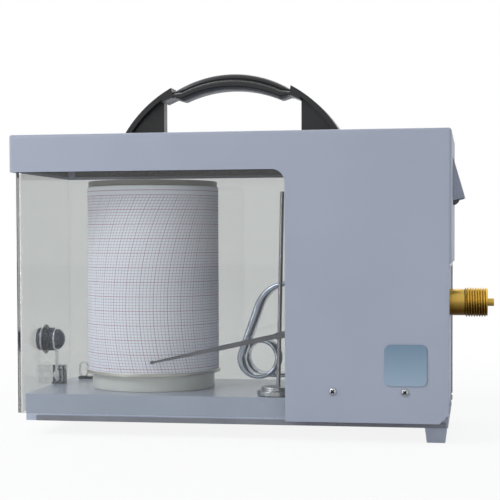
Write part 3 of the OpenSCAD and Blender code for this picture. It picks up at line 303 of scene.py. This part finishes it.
# Carrying handle
# One black ABS moulding: two webbed pillars with a rim, and between them a grip whose front
# and back carry a rounded crown, a groove, a ledge and a chamfer. Two screws from inside.
def sweep(form, rings):
    """Extrudes a closed outline from station to station and closes its ends; a ring is its points at one."""
    first = [form.verts.new(point) for point in rings[0]]
    edges = [form.edges.new((a, b)) for a, b in zip(first, first[1:] + first[:1])]
    line = first
    for ring in rings[1:]:
        grown = bmesh.ops.extrude_edge_only(form, edges=edges)["geom"]
        fresh = {g for g in grown if isinstance(g, bmesh.types.BMVert)}
        edges = [g for g in grown if isinstance(g, bmesh.types.BMEdge)]
        line = [next(e.other_vert(v) for e in v.link_edges if e.other_vert(v) in fresh) for v in line]
        for v, point in zip(line, ring):
            v.co = point
    form.faces.new(first)
    form.faces.new(line)
    bmesh.ops.recalc_face_normals(form, faces=form.faces)


def combine(base, tool, operation):
    """The base piece with the tool joined to it or cut out of it; the tool is used up."""
    cut = base.modifiers.new(operation.lower(), "BOOLEAN")
    cut.operation, cut.object, cut.solver = operation, tool, "EXACT"
    solid = bpy.data.meshes.new_from_object(base.evaluated_get(bpy.context.evaluated_depsgraph_get()))
    base.modifiers.remove(cut)
    base.data = solid
    bpy.data.objects.remove(tool)


handle_low, handle_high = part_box("handle")
handle_mid = (handle_low + handle_high) / 2
grip_end = 45.5                   # half length of the grip
grip_t = 12.0                     # its height at the middle
crown_r = 82.0                    # radius of its upper line
dip_x, dip_drop = 35.9, 7.8       # half width and height of the arch under it
fold_x, fold_rise = 43.4, 2.5     # where its underside meets the pillars, and how far it rises to there
fold_lean = math.radians(9)       # slope of the pillars' rims at that fold
arch_r = (dip_x**2 + dip_drop**2) / (2 * dip_drop)
# One side of the grip's section from the crown to the underside: distance from the middle
# plane in millimetres, and share of the grip's height below the crown
grip_side = [(3.5, 0.03), (5.6, 0.09), (6.8, 0.18), (7.3, 0.30), (7.0, 0.355), (7.5, 0.395), (8.8, 0.41),
             (11.3, 0.53), (12.0, 0.60), (12.0, 0.80), (11.6, 0.86), (7.6, 0.99)]
grip_outline = [(0.0, 0.0), *grip_side, (0.0, 1.0), *[(-y, f) for y, f in reversed(grip_side)]]


def grip_ring(x):
    """The grip's outline at x millimetres from the handle's middle."""
    crown = handle_high.z / MM - crown_r + math.sqrt(crown_r**2 - x * x)
    arch = handle_high.z / MM - grip_t
    if abs(x) <= dip_x:
        under = arch - arch_r + math.sqrt(arch_r**2 - x * x)
    else:
        under = arch - dip_drop + fold_rise * (abs(x) - dip_x) / (fold_x - dip_x)
    middle_line = Vector((handle_mid.x / MM + x, handle_mid.y / MM, crown))
    return [(middle_line + Vector((0, y, f * (under - crown)))) * MM for y, f in grip_outline]


form = bmesh.new()
half_steps = 32                   # stations from the grip's middle to its end
sweep(form, [grip_ring(grip_end * math.sin(math.pi / 2 * i / half_steps))
             for i in range(-half_steps, half_steps + 1)])
grip = as_piece(form, "handle_grip")

# the right pillar comes from the CAD node, cut off at the fold, and the left one is its mirror image
form = merged("handle")
fold = Vector((handle_mid.x + fold_x * MM, 0, handle_high.z - grip_t * MM))
bmesh.ops.bisect_plane(form, geom=[*form.verts, *form.edges, *form.faces], plane_co=fold,
                       plane_no=(math.cos(fold_lean), 0, -math.sin(fold_lean)), clear_inner=True)
bmesh.ops.holes_fill(form, edges=[e for e in form.edges if e.is_boundary])
twin = bmesh.ops.duplicate(form, geom=[*form.verts, *form.edges, *form.faces])["geom"]
for v in twin:
    if isinstance(v, bmesh.types.BMVert):
        v.co.x = 2 * handle_mid.x - v.co.x
bmesh.ops.reverse_faces(form, faces=[g for g in twin if isinstance(g, bmesh.types.BMFace)])
join_flats(form)
handle = as_piece(form, "handle_moulding")
combine(handle, grip, "UNION")
soften(handle, 0.45, segments=3, angle=24)

# ABS with a fine spark-eroded grain, polished a little where hands have rubbed it
abs_black, tree, shader = start_material("abs_black", Base_Color=colour("151517"), IOR=1.5)
grain(tree, shader, 0.45, 0.015)
tint(tree, shader, 12, 0.26, 0.38, "Roughness")
stand_for(handle, abs_black, "handle")


# Screws
# Zinc-plated pan-head screws with a cross recess: two on each side panel, which end in nuts,
# three coated ones in the side plate, and two that hold the bracket to the floor.
def solids_of(node):
    """The lowest and highest corners of each separate solid of a CAD node."""
    form = merged(node)
    waiting, found = set(form.verts), []
    while waiting:
        group, reached = set(), [waiting.pop()]
        while reached:
            v = reached.pop()
            group.add(v)
            near = {e.other_vert(v) for e in v.link_edges} & waiting
            waiting -= near
            reached.extend(near)
        found.append([Vector(f(v.co[i] for v in group) for i in range(3)) for f in (min, max)])
    form.free()
    return sorted(found, key=lambda box: tuple(box[0]))


def turned(form, outline, centre, axis, steps=48):
    """Turns a shape: outline holds (radius, distance along the axis) in millimetres from the centre."""
    axis = Vector(axis).normalized()
    side = axis.orthogonal().normalized()
    line = [form.verts.new(centre + (side * r + axis * h) * MM) for r, h in outline]
    edges = [form.edges.new(pair) for pair in zip(line, line[1:])]
    bmesh.ops.spin(form, geom=[*line, *edges], cent=centre, axis=axis, angle=2 * math.pi, steps=steps,
                   use_merge=True)
    bmesh.ops.remove_doubles(form, verts=form.verts, dist=0.001 * MM)
    bmesh.ops.recalc_face_normals(form, faces=form.faces)


# zinc plate: bright grey metal, its shine a little patchy
zinc, tree, shader = start_material("zinc_plate", Metallic=1.0)
tint(tree, shader, 4, "A9ABAD", "C4C5C6")
tint(tree, shader, 3, 0.26, 0.4, "Roughness")
grain(tree, shader, 0.25, 0.004)
# the cross recesses are painted dark as shade
recess_shade, tree, shader = start_material("painted_recess_shade", Roughness=0.6)
tint(tree, shader, 1, "0E0E0E", "1C1B1A")


def screws(node, axis, head_h, finish=zinc, head_d=5.4, recess=3.2):
    """Pan-head screws in place of a node's solids, each with its head at its end away from the origin."""
    axis = Vector(axis)
    head_r, shank_r = head_d / 2, head_d * 0.27
    rim, arm_w, dome_steps = head_h * 1.12, recess * 0.34, 7
    dome = [(head_r * math.sin(a), head_h * (math.cos(a) - 1))
            for a in [math.pi / 2 * i / dome_steps for i in range(1, dome_steps + 1)]]
    form, slots, tops = bmesh.new(), (bmesh.new(), bmesh.new()), []
    for low, high in solids_of(node):
        centre = (low + high) / 2
        out = axis if centre @ axis >= 0 else -axis
        length = (high - low) @ axis / MM
        top = centre + out * length / 2 * MM
        tops.append((top, out))
        turned(form, [(0, 0), *dome, (head_r, -rim), (shank_r, -rim), (shank_r, -length), (0, -length)],
               top, out)
        side = out.orthogonal().normalized()
        for arm, slot in zip((side, out.cross(side)), slots):
            turn = Matrix((arm, out.cross(arm), out)).transposed().to_4x4()
            size = Matrix.Diagonal((recess * MM, arm_w * MM, 2 * head_h * MM, 1))
            bmesh.ops.create_cube(slot, size=1, matrix=Matrix.Translation(top) @ turn @ size)
    heads = as_piece(form, node + "_heads")
    # the two arms of the crosses are cut one after the other, as the solver fails on crossing tools
    for slot in slots:
        combine(heads, as_piece(slot, node + "_recess"), "DIFFERENCE")
    soften(heads, 0.12, angle=38)
    stand_for(heads, finish, node)
    # faces that lie inside the recess, clear of the dome, get the painted shade
    clear = 0.25
    heads.data.materials.append(recess_shade)
    for face in heads.data.polygons:
        top, out = min(tops, key=lambda end: (face.center - end[0]).length)
        deep = (top - face.center) @ out / MM
        off = ((face.center - top) + out * deep * MM).length / MM
        dome_drop = head_h * (1 - math.sqrt(max(0.0, 1 - (off / head_r) ** 2)))
        face.material_index = int(off < recess / 2 and dome_drop + clear < deep < head_h * 1.05)


screws("panel_screws", (0, 1, 0), 1.9)
screws("side_screws", (1, 0, 0), 1.4, finish=powder_coat)
screws("floor_screws", (0, 0, 1), 1.9)
paint(zinc, "foot_screws", "handle_screws", "stop_angles", "panel_nuts")

# Badge plate
# A square of satin anodised sheet with rounded corners, stuck on the panel; it is bare. Its
# blue-grey is a little deeper towards the top edge.
badge_low, badge_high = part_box("badge_plate")
badge_satin, tree, shader = start_material("badge_satin", Roughness=0.36, IOR=1.5, Metallic=0.25)
place = add(tree, "ShaderNodeTexCoord").outputs["Object"]
height = add(tree, "ShaderNodeSeparateXYZ", {0: place}).outputs["Z"]
share = add(tree, "ShaderNodeMapRange", {"Value": height, "From Min": badge_low.z, "From Max": badge_high.z})
blues = add(tree, "ShaderNodeMix", {"Factor": share, "A": colour("96AABA"), "B": colour("728A9D")},
            data_type="RGBA")
feed(tree, shader, {"Base Color": blues})
grain(tree, shader, 0.3, 0.004)
eased("badge_plate", badge_satin, 0.3, segments=3)

# Base tray and edge strip
# A folded steel tray with a grey rubber strip along its lip. Its powder coat is the hood's, but
# the case has kept it clean: it is glossier, with a broad shallow wave. The strip is matt.
tray_coat, tree, shader = start_material("powder_coat_base", Roughness=0.2, IOR=1.5)
grain(tree, shader, 6, 0.01, detail=1.0)
tint(tree, shader, 70, "A6AEBC", "ACB4C2")
eased("base_tray", tray_coat, 0.7, segments=3)
grey_rubber, tree, shader = start_material("grey_rubber", Roughness=0.6)
tint(tree, shader, 25, "74767B", "7F8186")
grain(tree, shader, 0.4, 0.02)
eased("edge_strip", grey_rubber, 0.4)

# Cowl grommet
# A moulded black rubber ring in the side, under the cowl; it is matt and a little dusty.
rubber, tree, shader = start_material("black_rubber", Base_Color=colour("4C4C4F"), Roughness=0.7)
grain(tree, shader, 0.4, 0.02)
eased("cowl_grommet", rubber, 0.3)

# Feet
# Two at the right and one at the left: tapered grey ABS mouldings with a fine grain, each held
# by a screw from below.
foot_abs, tree, shader = start_material("abs_grey", Roughness=0.5, IOR=1.53)
tint(tree, shader, 8, "9FA5B1", "A6ACB8")
grain(tree, shader, 0.5, 0.02)
eased("feet", foot_abs, 0.6, segments=3)

# Hood hinge
# A long piano hinge of zinc-plated steel behind the joint of hood and side plate.
paint(zinc, "hinge_base_leaf", "hinge_hood_leaf", "hinge_pin")

# Lock
# A quarter-turn cam lock in the left pane: outside it a black zinc knob, a bright ring and the
# barrel's flange, inside it a threaded nut, a bright cam and a dark dome. The cam turns under
# the cross pin of a keeper on the floor.

# black zinc plate: blue-black metal with a clear shine
black_zinc, tree, shader = start_material("black_zinc", Metallic=1.0)
tint(tree, shader, 3, "2C3038", "454C5C")
tint(tree, shader, 2, 0.22, 0.36, "Roughness")
# zinc plate that has dulled to a dark grey
dark_plate, tree, shader = start_material("dark_zinc_plate", Metallic=1.0)
tint(tree, shader, 4, "55585C", "74777B")
tint(tree, shader, 3, 0.22, 0.38, "Roughness")
# chrome plate: a hard mirror shine
chrome, tree, shader = start_material("bright_chrome", Base_Color=colour("D5D7DA"), Metallic=1.0)
tint(tree, shader, 2, 0.06, 0.14, "Roughness")
eased("lock_barrel", black_zinc, 0.2)
eased("lock_knob", black_zinc, 0.9, segments=3, angle=60)
eased("lock_dome", black_zinc, 0.3)
paint(chrome, "lock_ring")
eased("lock_cam", chrome, 0.25)
eased("lock_keeper", dark_plate, 0.3)
eased("keeper_pin", chrome, 0.25)

# the nut's fine thread runs over its whole length, its turns 1 mm apart
nut_low, nut_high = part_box("lock_nut")
nut_axis = Vector((nut_low.x, (nut_low.y + nut_high.y) / 2, (nut_low.z + nut_high.z) / 2))
nut_l, nut_r = (nut_high.x - nut_low.x) / MM, (nut_high.y - nut_low.y) / 2 / MM
nut_bore, nut_pitch, nut_groove = 6.76, 1.0, 0.45
nut_lead, nut_chamfer, last_crest = 0.5, 0.4, 0.9   # how its two ends are turned down, and the last crest
crest_from, crest_to, root_at = 0.6, 0.95, 1.3      # where a turn's crest and its root lie
nut_outline = [(nut_bore, 0), (nut_r - nut_lead, 0)]
for i in range(int(nut_l / nut_pitch) - 1):
    turn_at = nut_pitch * i
    nut_outline += [(nut_r, turn_at + crest_from), (nut_r, turn_at + crest_to),
                    (nut_r - nut_groove, turn_at + root_at)]
nut_outline += [(nut_r, nut_l - last_crest), (nut_r, nut_l - nut_chamfer), (nut_r - nut_chamfer, nut_l),
                (nut_bore, nut_l), (nut_bore, 0)]
form = bmesh.new()
turned(form, nut_outline, nut_axis, (1, 0, 0), steps=64)
threaded_nut = as_piece(form, "lock_threaded_nut")
shade_smooth(threaded_nut, 28)
stand_for(threaded_nut, black_zinc, "lock_nut")

# Drum
# A spun aluminium shell with a rolled flange, on an ivory ABS seat on the floor, with a dark
# olive cap. It turns on a zinc-plated spindle with a nut.

# ivory ABS: glossy, and a little light gets into it
ivory, tree, shader = start_material("abs_ivory", Roughness=0.3, IOR=1.53, Subsurface_Weight=0.05)
tint(tree, shader, 40, "DADBD2", "E4E3D9")
eased("drum_seat", ivory, 0.5, segments=3)
# spun aluminium: pale warm metal, its shine patchy from handling
aluminium, tree, shader = start_material("spun_aluminium", Metallic=0.85)
tint(tree, shader, 20, "C4C2B8", "D2D0C8")
tint(tree, shader, 5, 0.32, 0.45, "Roughness")
eased("drum_shell", aluminium, 0.3)
# stoved enamel: half gloss, its olive a little uneven
olive, tree, shader = start_material("olive_enamel", Roughness=0.4, IOR=1.5)
tint(tree, shader, 30, "77766B", "868479")
eased("drum_cap", olive, 0.4)
paint(zinc, "drum_spindle", "spindle_nut")

# Clock
# A quartz clock in a black ABS case inside the drum, whose cell has a golden foil wrap. Its
# brass pinion rolls round the fixed brass gear in the seat.

# turned brass: golden, a little patchy
brass, tree, shader = start_material("turned_brass", Metallic=1.0)
tint(tree, shader, 9, "A98A30", "C6A548")
tint(tree, shader, 6, 0.2, 0.3, "Roughness")
paint(brass, "fixed_gear", "clock_pinion")
paint(abs_black, "clock_case")
cell_wrap, tree, shader = start_material("printed_foil", Base_Color=colour("B58A36"), Roughness=0.3)
paint(cell_wrap, "battery")

# Chart
# White uncoated paper, matt with a cloud of fibres, held round the drum by a zinc-plated clip.
# Its time arcs have the pen arm's radius, and its levels lie under a header. The lines are
# drawn about three times as wide as print, so that they show.
paint(zinc, "chart_clip")
paper_low, paper_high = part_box("chart_paper")
paper_r = (paper_high.x - paper_low.x) / 2
paper_mid = (paper_low + paper_high) / 2
pivot_low, pivot_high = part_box("pen_shaft")
pivot_z = (pivot_low.z + pivot_high.z) / 2
arc_r = 178.7                       # the pen arm, from its shaft to the nib
arc_step, level_step = 10.0, 10.3
header, rule_up = 6.4, 3.4          # height of the header, and of the rule in it over the top level
fine, bold = 0.42, 0.5              # widths of the lines
top_level = (paper_high.z - pivot_z) / MM - header

# place from the drum's axis at the shaft's height, unrolled and bent back along the pen's arc
chart, tree, shader = start_material("chart_paper_print", Roughness=0.85)
place = add(tree, "ShaderNodeTexCoord").outputs["Object"]
centred = add(tree, "ShaderNodeVectorMath", {0: place, 1: (paper_mid.x, paper_mid.y, pivot_z)},
              operation="SUBTRACT")
axes = add(tree, "ShaderNodeSeparateXYZ", {0: centred}).outputs
level = axes["Z"]
front = add(tree, "ShaderNodeMath", {0: axes["Y"], 1: -1.0}, operation="MULTIPLY")
turn = add(tree, "ShaderNodeMath", {0: axes["X"], 1: front}, operation="ARCTAN2")
unrolled = add(tree, "ShaderNodeMath", {0: turn, 1: paper_r}, operation="MULTIPLY")
squared = add(tree, "ShaderNodeMath", {0: level, 1: level}, operation="MULTIPLY")
inside = add(tree, "ShaderNodeMath", {0: (arc_r * MM) ** 2, 1: squared}, operation="SUBTRACT")
reach = add(tree, "ShaderNodeMath", {0: inside}, operation="SQRT")
time = add(tree, "ShaderNodeMath", {0: unrolled, 1: reach}, operation="ADD")
below = add(tree, "ShaderNodeMath", {0: level, 1: top_level * MM}, operation="LESS_THAN")


def lines(value, step, width, start=0.0):
    """1 on lines of a coordinate, step apart and width wide, in millimetres, and 0 between them."""
    moved = add(tree, "ShaderNodeMath", {0: value, 1: start * MM}, operation="SUBTRACT")
    near = add(tree, "ShaderNodeMath", {0: moved, 1: step / 2 * MM}, operation="PINGPONG")
    return add(tree, "ShaderNodeMath", {0: near, 1: width / 2 * MM}, operation="LESS_THAN")


def under_header(mask):
    """Keeps a set of lines to the part of the chart under its header."""
    return add(tree, "ShaderNodeMath", {0: mask, 1: below}, operation="MULTIPLY")


def inked(under, mask, hex_code, strength):
    """Prints a colour over another where the mask is 1."""
    share = add(tree, "ShaderNodeMath", {0: mask, 1: strength}, operation="MULTIPLY")
    return add(tree, "ShaderNodeMix", {"Factor": share, "A": under, "B": colour(hex_code)}, data_type="RGBA")


fibre = add(tree, "ShaderNodeTexNoise", {"Vector": place, "Scale": 1 / (1.5 * MM), "Detail": 3.0})
printed = add(tree, "ShaderNodeMix", {"Factor": fibre, "A": colour("EFF2F8"), "B": colour("F5F8FC")},
              data_type="RGBA")
printed = inked(printed, under_header(lines(time, arc_step / 4, fine)), "9E97AC", 0.66)
printed = inked(printed, under_header(lines(level, level_step / 5, fine, top_level)), "B497A4", 0.68)
printed = inked(printed, under_header(lines(time, arc_step, bold)), "99798C", 0.55)
printed = inked(printed, lines(level, level_step, bold, top_level), "B26E7C", 0.62)
# one rule in the header: it would repeat only past the paper's edges
printed = inked(printed, lines(level, 200.0, bold, top_level + rule_up), "A87684", 0.8)
feed(tree, shader, {"Base Color": printed})
paint(chart, "chart_paper")

# Nib clip
# A low black ABS bar at the back left of the floor, with an ivory loop that holds a spare nib.
eased("clip_base", abs_black, 0.3)
eased("nib_clip", ivory, 0.3)

# Pressure connector
# Turned brass with a bore: a stud through the side plate, a plain neck, a G1/2 male thread with
# chamfered ends and a short spigot. A locknut holds it, and a copper pipe leads to the tube.
port_low, port_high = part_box("connector")
port_axis = Vector((port_low.x, (port_low.y + port_high.y) / 2, (port_low.z + port_high.z) / 2))
bore_r = 1.5
stud_r, stud_l = 7.0, 14.0
neck_r, neck_relief = 9.4, 0.4      # the neck ends this far before the thread
thread_r, thread_l, thread_pitch, thread_depth = 10.4775, 16.3, 1.814, 1.16
flank_slope, crest_flat = 1.35, 0.18            # how steep the flanks are, and how flat the crests
chamfer_low, chamfer_slope = 0.2, 1.15          # the tip's chamfer: its start under the roots, and its rise
spigot_r, spigot_l, spigot_edge = 2.7, 4.3, 0.3
thread_to = (port_high.x - port_low.x) / MM - spigot_l
thread_from = thread_to - thread_l
port_l = thread_to + spigot_l
row = 0.16                          # distance between the rings that carry the thread's form
thread_rows = [(thread_r, thread_from + row * i) for i in range(int(thread_l / row) + 1)]
form = bmesh.new()
turned(form, [(bore_r, 0), (stud_r, 0), (stud_r, stud_l), (neck_r, stud_l),
              (neck_r, thread_from - neck_relief), *thread_rows, (spigot_r, thread_to),
              (spigot_r, port_l - spigot_edge), (spigot_r - spigot_edge, port_l), (bore_r, port_l),
              (bore_r, 0)], port_axis, (1, 0, 0), steps=96)
for v in form.verts:
    arm = v.co - port_axis
    along = arm.x / MM
    arm.x = 0
    if thread_from - 0.01 <= along <= thread_to + 0.01 and arm.length > spigot_r * 1.2 * MM:
        # narrow flat crests and roots with sloping flanks between them, once round in a pitch
        phase = (along / thread_pitch - math.atan2(arm.z, arm.y) / (2 * math.pi)) % 1
        tooth = min(1.0, max(0.0, abs(2 * phase - 1) * flank_slope - crest_flat))
        chamfer = max(0.0, min(along - thread_from + chamfer_low, chamfer_slope * (thread_to - along)))
        r = thread_r - max(thread_depth * tooth, thread_depth + chamfer_low - chamfer)
        v.co -= arm * (1 - r * MM / arm.length)
bmesh.ops.recalc_face_normals(form, faces=form.faces)
threaded = as_piece(form, "threaded_connector")
shade_smooth(threaded, 75)

# the thread's roots are darker than the crests: partly dirt and old sealant, partly painted shade
brass_dirt_and_painted_light, tree, shader = start_material("brass_dirt_and_painted_light", Metallic=1.0, Roughness=0.27)
place = add(tree, "ShaderNodeTexCoord").outputs["Object"]
thread_mid = port_axis + Vector((thread_from + thread_l / 2, 0, 0)) * MM
from_mid = add(tree, "ShaderNodeVectorMath", {0: place, 1: thread_mid}, operation="SUBTRACT")
axes = add(tree, "ShaderNodeSeparateXYZ", {0: from_mid}).outputs
off_mid = add(tree, "ShaderNodeMath", {0: axes["X"]}, operation="ABSOLUTE")
plain = add(tree, "ShaderNodeMath", {0: off_mid, 1: thread_l / 2 * MM}, operation="GREATER_THAN")
radial = add(tree, "ShaderNodeVectorMath", {0: from_mid, 1: (0, 1, 1)}, operation="MULTIPLY")
radius = add(tree, "ShaderNodeVectorMath", {0: radial}, operation="LENGTH")
crest = add(tree, "ShaderNodeMapRange", {"Value": radius, "From Min": (thread_r - thread_depth) * MM,
            "From Max": (thread_r - 0.35) * MM})
thread_dirt_and_shade = add(tree, "ShaderNodeMix", {"Factor": crest, "A": colour("B4924A"), "B": colour("FAD878")},
                  data_type="RGBA")
brasses = add(tree, "ShaderNodeMix", {"Factor": plain, "A": thread_dirt_and_shade, "B": colour("C8A658")},
              data_type="RGBA")
# painted shade darkens its underside and a painted highlight lightens its top
painted_light_share = add(tree, "ShaderNodeMapRange", {"Value": axes["Z"], "From Min": -0.6 * neck_r * MM,
             "From Max": 0.45 * neck_r * MM}, interpolation_type="SMOOTHSTEP")
painted_light_tone = add(tree, "ShaderNodeMix", {"Factor": painted_light_share, "A": colour("8A7A62"), "B": colour("FFFFF0")},
             data_type="RGBA")
brass_and_painted_light = add(tree, "ShaderNodeMix", {"Factor": 1.0, "A": brasses, "B": painted_light_tone}, data_type="RGBA",
            blend_type="MULTIPLY")
feed(tree, shader, {"Base Color": brass_and_painted_light})
# the connector's brass carries painted shade and a painted highlight, besides dirt in the thread's roots
stand_for(threaded, brass_dirt_and_painted_light, "connector")
eased("connector_locknut", brass, 0.4)
# drawn copper: reddish, lightly tarnished
copper, tree, shader = start_material("drawn_copper", Metallic=1.0, Roughness=0.28)
tint(tree, shader, 15, "A9643F", "C27B52")
paint(copper, "supply_pipe")

# Bourdon tube
# Bright drawn steel tube pressed flat, wound almost one and a third turns, with a long fuller
# tail. One end is soldered into a brass socket block, the other has a clip for the drive link.
coil_centre = Vector((5.3, -28.38, 53.1))    # middle of the coil's first turn
coil_r, turn_pitch = 12.5, 13.8              # radius of the tube's middle, and a turn's drift sideways
tube_w, tube_t, tail_t = 12.5, 3.0, 4.6      # width, and thickness in the coil and in the tail
tail_l, tail_lean = 36.0, math.radians(20)
top_r, level_l, exit_l = 24.0, 16.0, 18.0    # the bend over the tail, and the straight ends
coil_from, coil_to = math.pi - tail_lean, math.radians(630)
coil_yaw = math.radians(6)
settle = 0.06                                # share of the coil over which its drift sets in
level_steps, top_steps, tail_steps = 4, 16, 6       # stations on the tip's end, the bend and the tail
coil_steps, thin_steps, exit_steps = 120, 24, 3     # on the coil, where it thins, and on the socket's end
round_steps = 32                                    # corners of the tube's outline

axis_line = Vector((math.sin(coil_yaw), math.cos(coil_yaw), 0))
across = Vector((math.cos(coil_yaw), -math.sin(coil_yaw), 0))
up = Vector((0, 0, 1))
tail_start = coil_r * Vector((math.cos(coil_from), math.sin(coil_from)))
tail_end = tail_start + tail_l * Vector((math.sin(tail_lean), math.cos(tail_lean)))
top_centre = tail_end + top_r * Vector((math.cos(tail_lean), -math.sin(tail_lean)))
tip = top_centre + Vector((level_l, top_r))
coil_w = (coil_to - coil_from) / (2 * math.pi) * turn_pitch
# each station: its place in the coil's own plane, how far along the coil's axis, and its thickness
stations = [(tip - Vector((level_l * i / level_steps, 0)), 0.0, tube_t) for i in range(level_steps)]
for i in range(top_steps):
    a = math.pi / 2 + (math.pi / 2 - tail_lean) * i / top_steps
    stations.append((top_centre + top_r * Vector((math.cos(a), math.sin(a))), 0.0,
                     tube_t + (tail_t - tube_t) * i / top_steps))
stations += [(tail_end.lerp(tail_start, i / tail_steps), 0.0, tail_t) for i in range(tail_steps)]
for i in range(coil_steps + 1):
    a = coil_from + (coil_to - coil_from) * i / coil_steps
    drift = i / coil_steps - settle * (1 - math.exp(-i / coil_steps / settle))
    stations.append((coil_r * Vector((math.cos(a), math.sin(a))), coil_w * drift / (1 - settle),
                     max(tube_t, tail_t - (tail_t - tube_t) * i / thin_steps)))
stations += [(Vector((exit_l * i / exit_steps, -coil_r)), coil_w, tube_t) for i in range(1, exit_steps + 1)]
path = [coil_centre + across * spot.x + up * spot.y + axis_line * off for spot, off, _ in stations]


def tube_ring(i):
    """The flat tube's round-sided outline at one of its stations."""
    ahead = (path[min(i + 1, len(path) - 1)] - path[max(i - 1, 0)]).normalized()
    wide = (axis_line - ahead * axis_line.dot(ahead)).normalized()
    thick = ahead.cross(wide) * stations[i][2] / 2
    ring = []
    for k in range(round_steps):
        a = 2 * math.pi * (k + 0.5) / round_steps
        half_w = math.copysign((tube_w - tube_t) / 2, math.sin(a)) + tube_t / 2 * math.sin(a)
        ring.append((path[i] + thick * math.cos(a) + wide * half_w) * MM)
    return ring


form = bmesh.new()
sweep(form, [tube_ring(i) for i in range(len(path))])
flat_tube = as_piece(form, "flat_tube")
shade_smooth(flat_tube, 50)
# bright drawn steel: cool metal with long clear highlights along the tube
tube_steel, tree, shader = start_material("drawn_steel", Metallic=1.0)
tint(tree, shader, 8, "9EA6B5", "BAC1CE")
tint(tree, shader, 9, 0.12, 0.2, "Roughness")
stand_for(flat_tube, tube_steel, "bourdon_tube")
# blackened steel: dark brown-grey with a dull shine
dark_steel, tree, shader = start_material("blackened_steel", Metallic=1.0)
tint(tree, shader, 5, "3C3C3B", "565550")
tint(tree, shader, 3, 0.28, 0.42, "Roughness")
eased("tip_clip", dark_steel, 0.3)
eased("socket_block", brass, 0.4)

# Pen movement
# A folded zinc-plated bracket carries brass bushes and the pen's steel shaft; a crank, a slotted
# link from the tube, a gate fork that lets the pen lift, and a flat tapered arm with its nib.
eased("movement_bracket", zinc, 0.3)
paint(brass, "shaft_bushes", "crank", "gate_fork", "gate_block")
paint(zinc, "pen_shaft", "drive_link")
# anodised aluminium: dull dark grey metal
arm_grey, tree, shader = start_material("anodised_aluminium", Metallic=0.8)
tint(tree, shader, 10, "5E5E64", "6C6C72")
tint(tree, shader, 4, 0.3, 0.42, "Roughness")
eased("pen_arm", arm_grey, 0.12)
paint(arm_grey, "arm_holder", "pen_nib")

# Pen lifter
# A turned steel foot disc with a step, and a bright rod that leans a little and brings the arm
# off the paper when the disc is turned.

# ground steel: nearly a mirror, so it is dark but for a thin bright line
rod_steel, tree, shader = start_material("ground_steel", Metallic=1.0)
tint(tree, shader, 6, "949199", "AAA7AE")
tint(tree, shader, 3, 0.05, 0.1, "Roughness")
paint(rod_steel, "lifter_rod")
# turned steel: pale, with a broad soft shine
disc_steel, tree, shader = start_material("turned_steel", Metallic=1.0)
tint(tree, shader, 5, "ADAFB2", "C7C9CC")
tint(tree, shader, 3, 0.24, 0.38, "Roughness")
eased("lifter_disc", disc_steel, 0.7, segments=4)
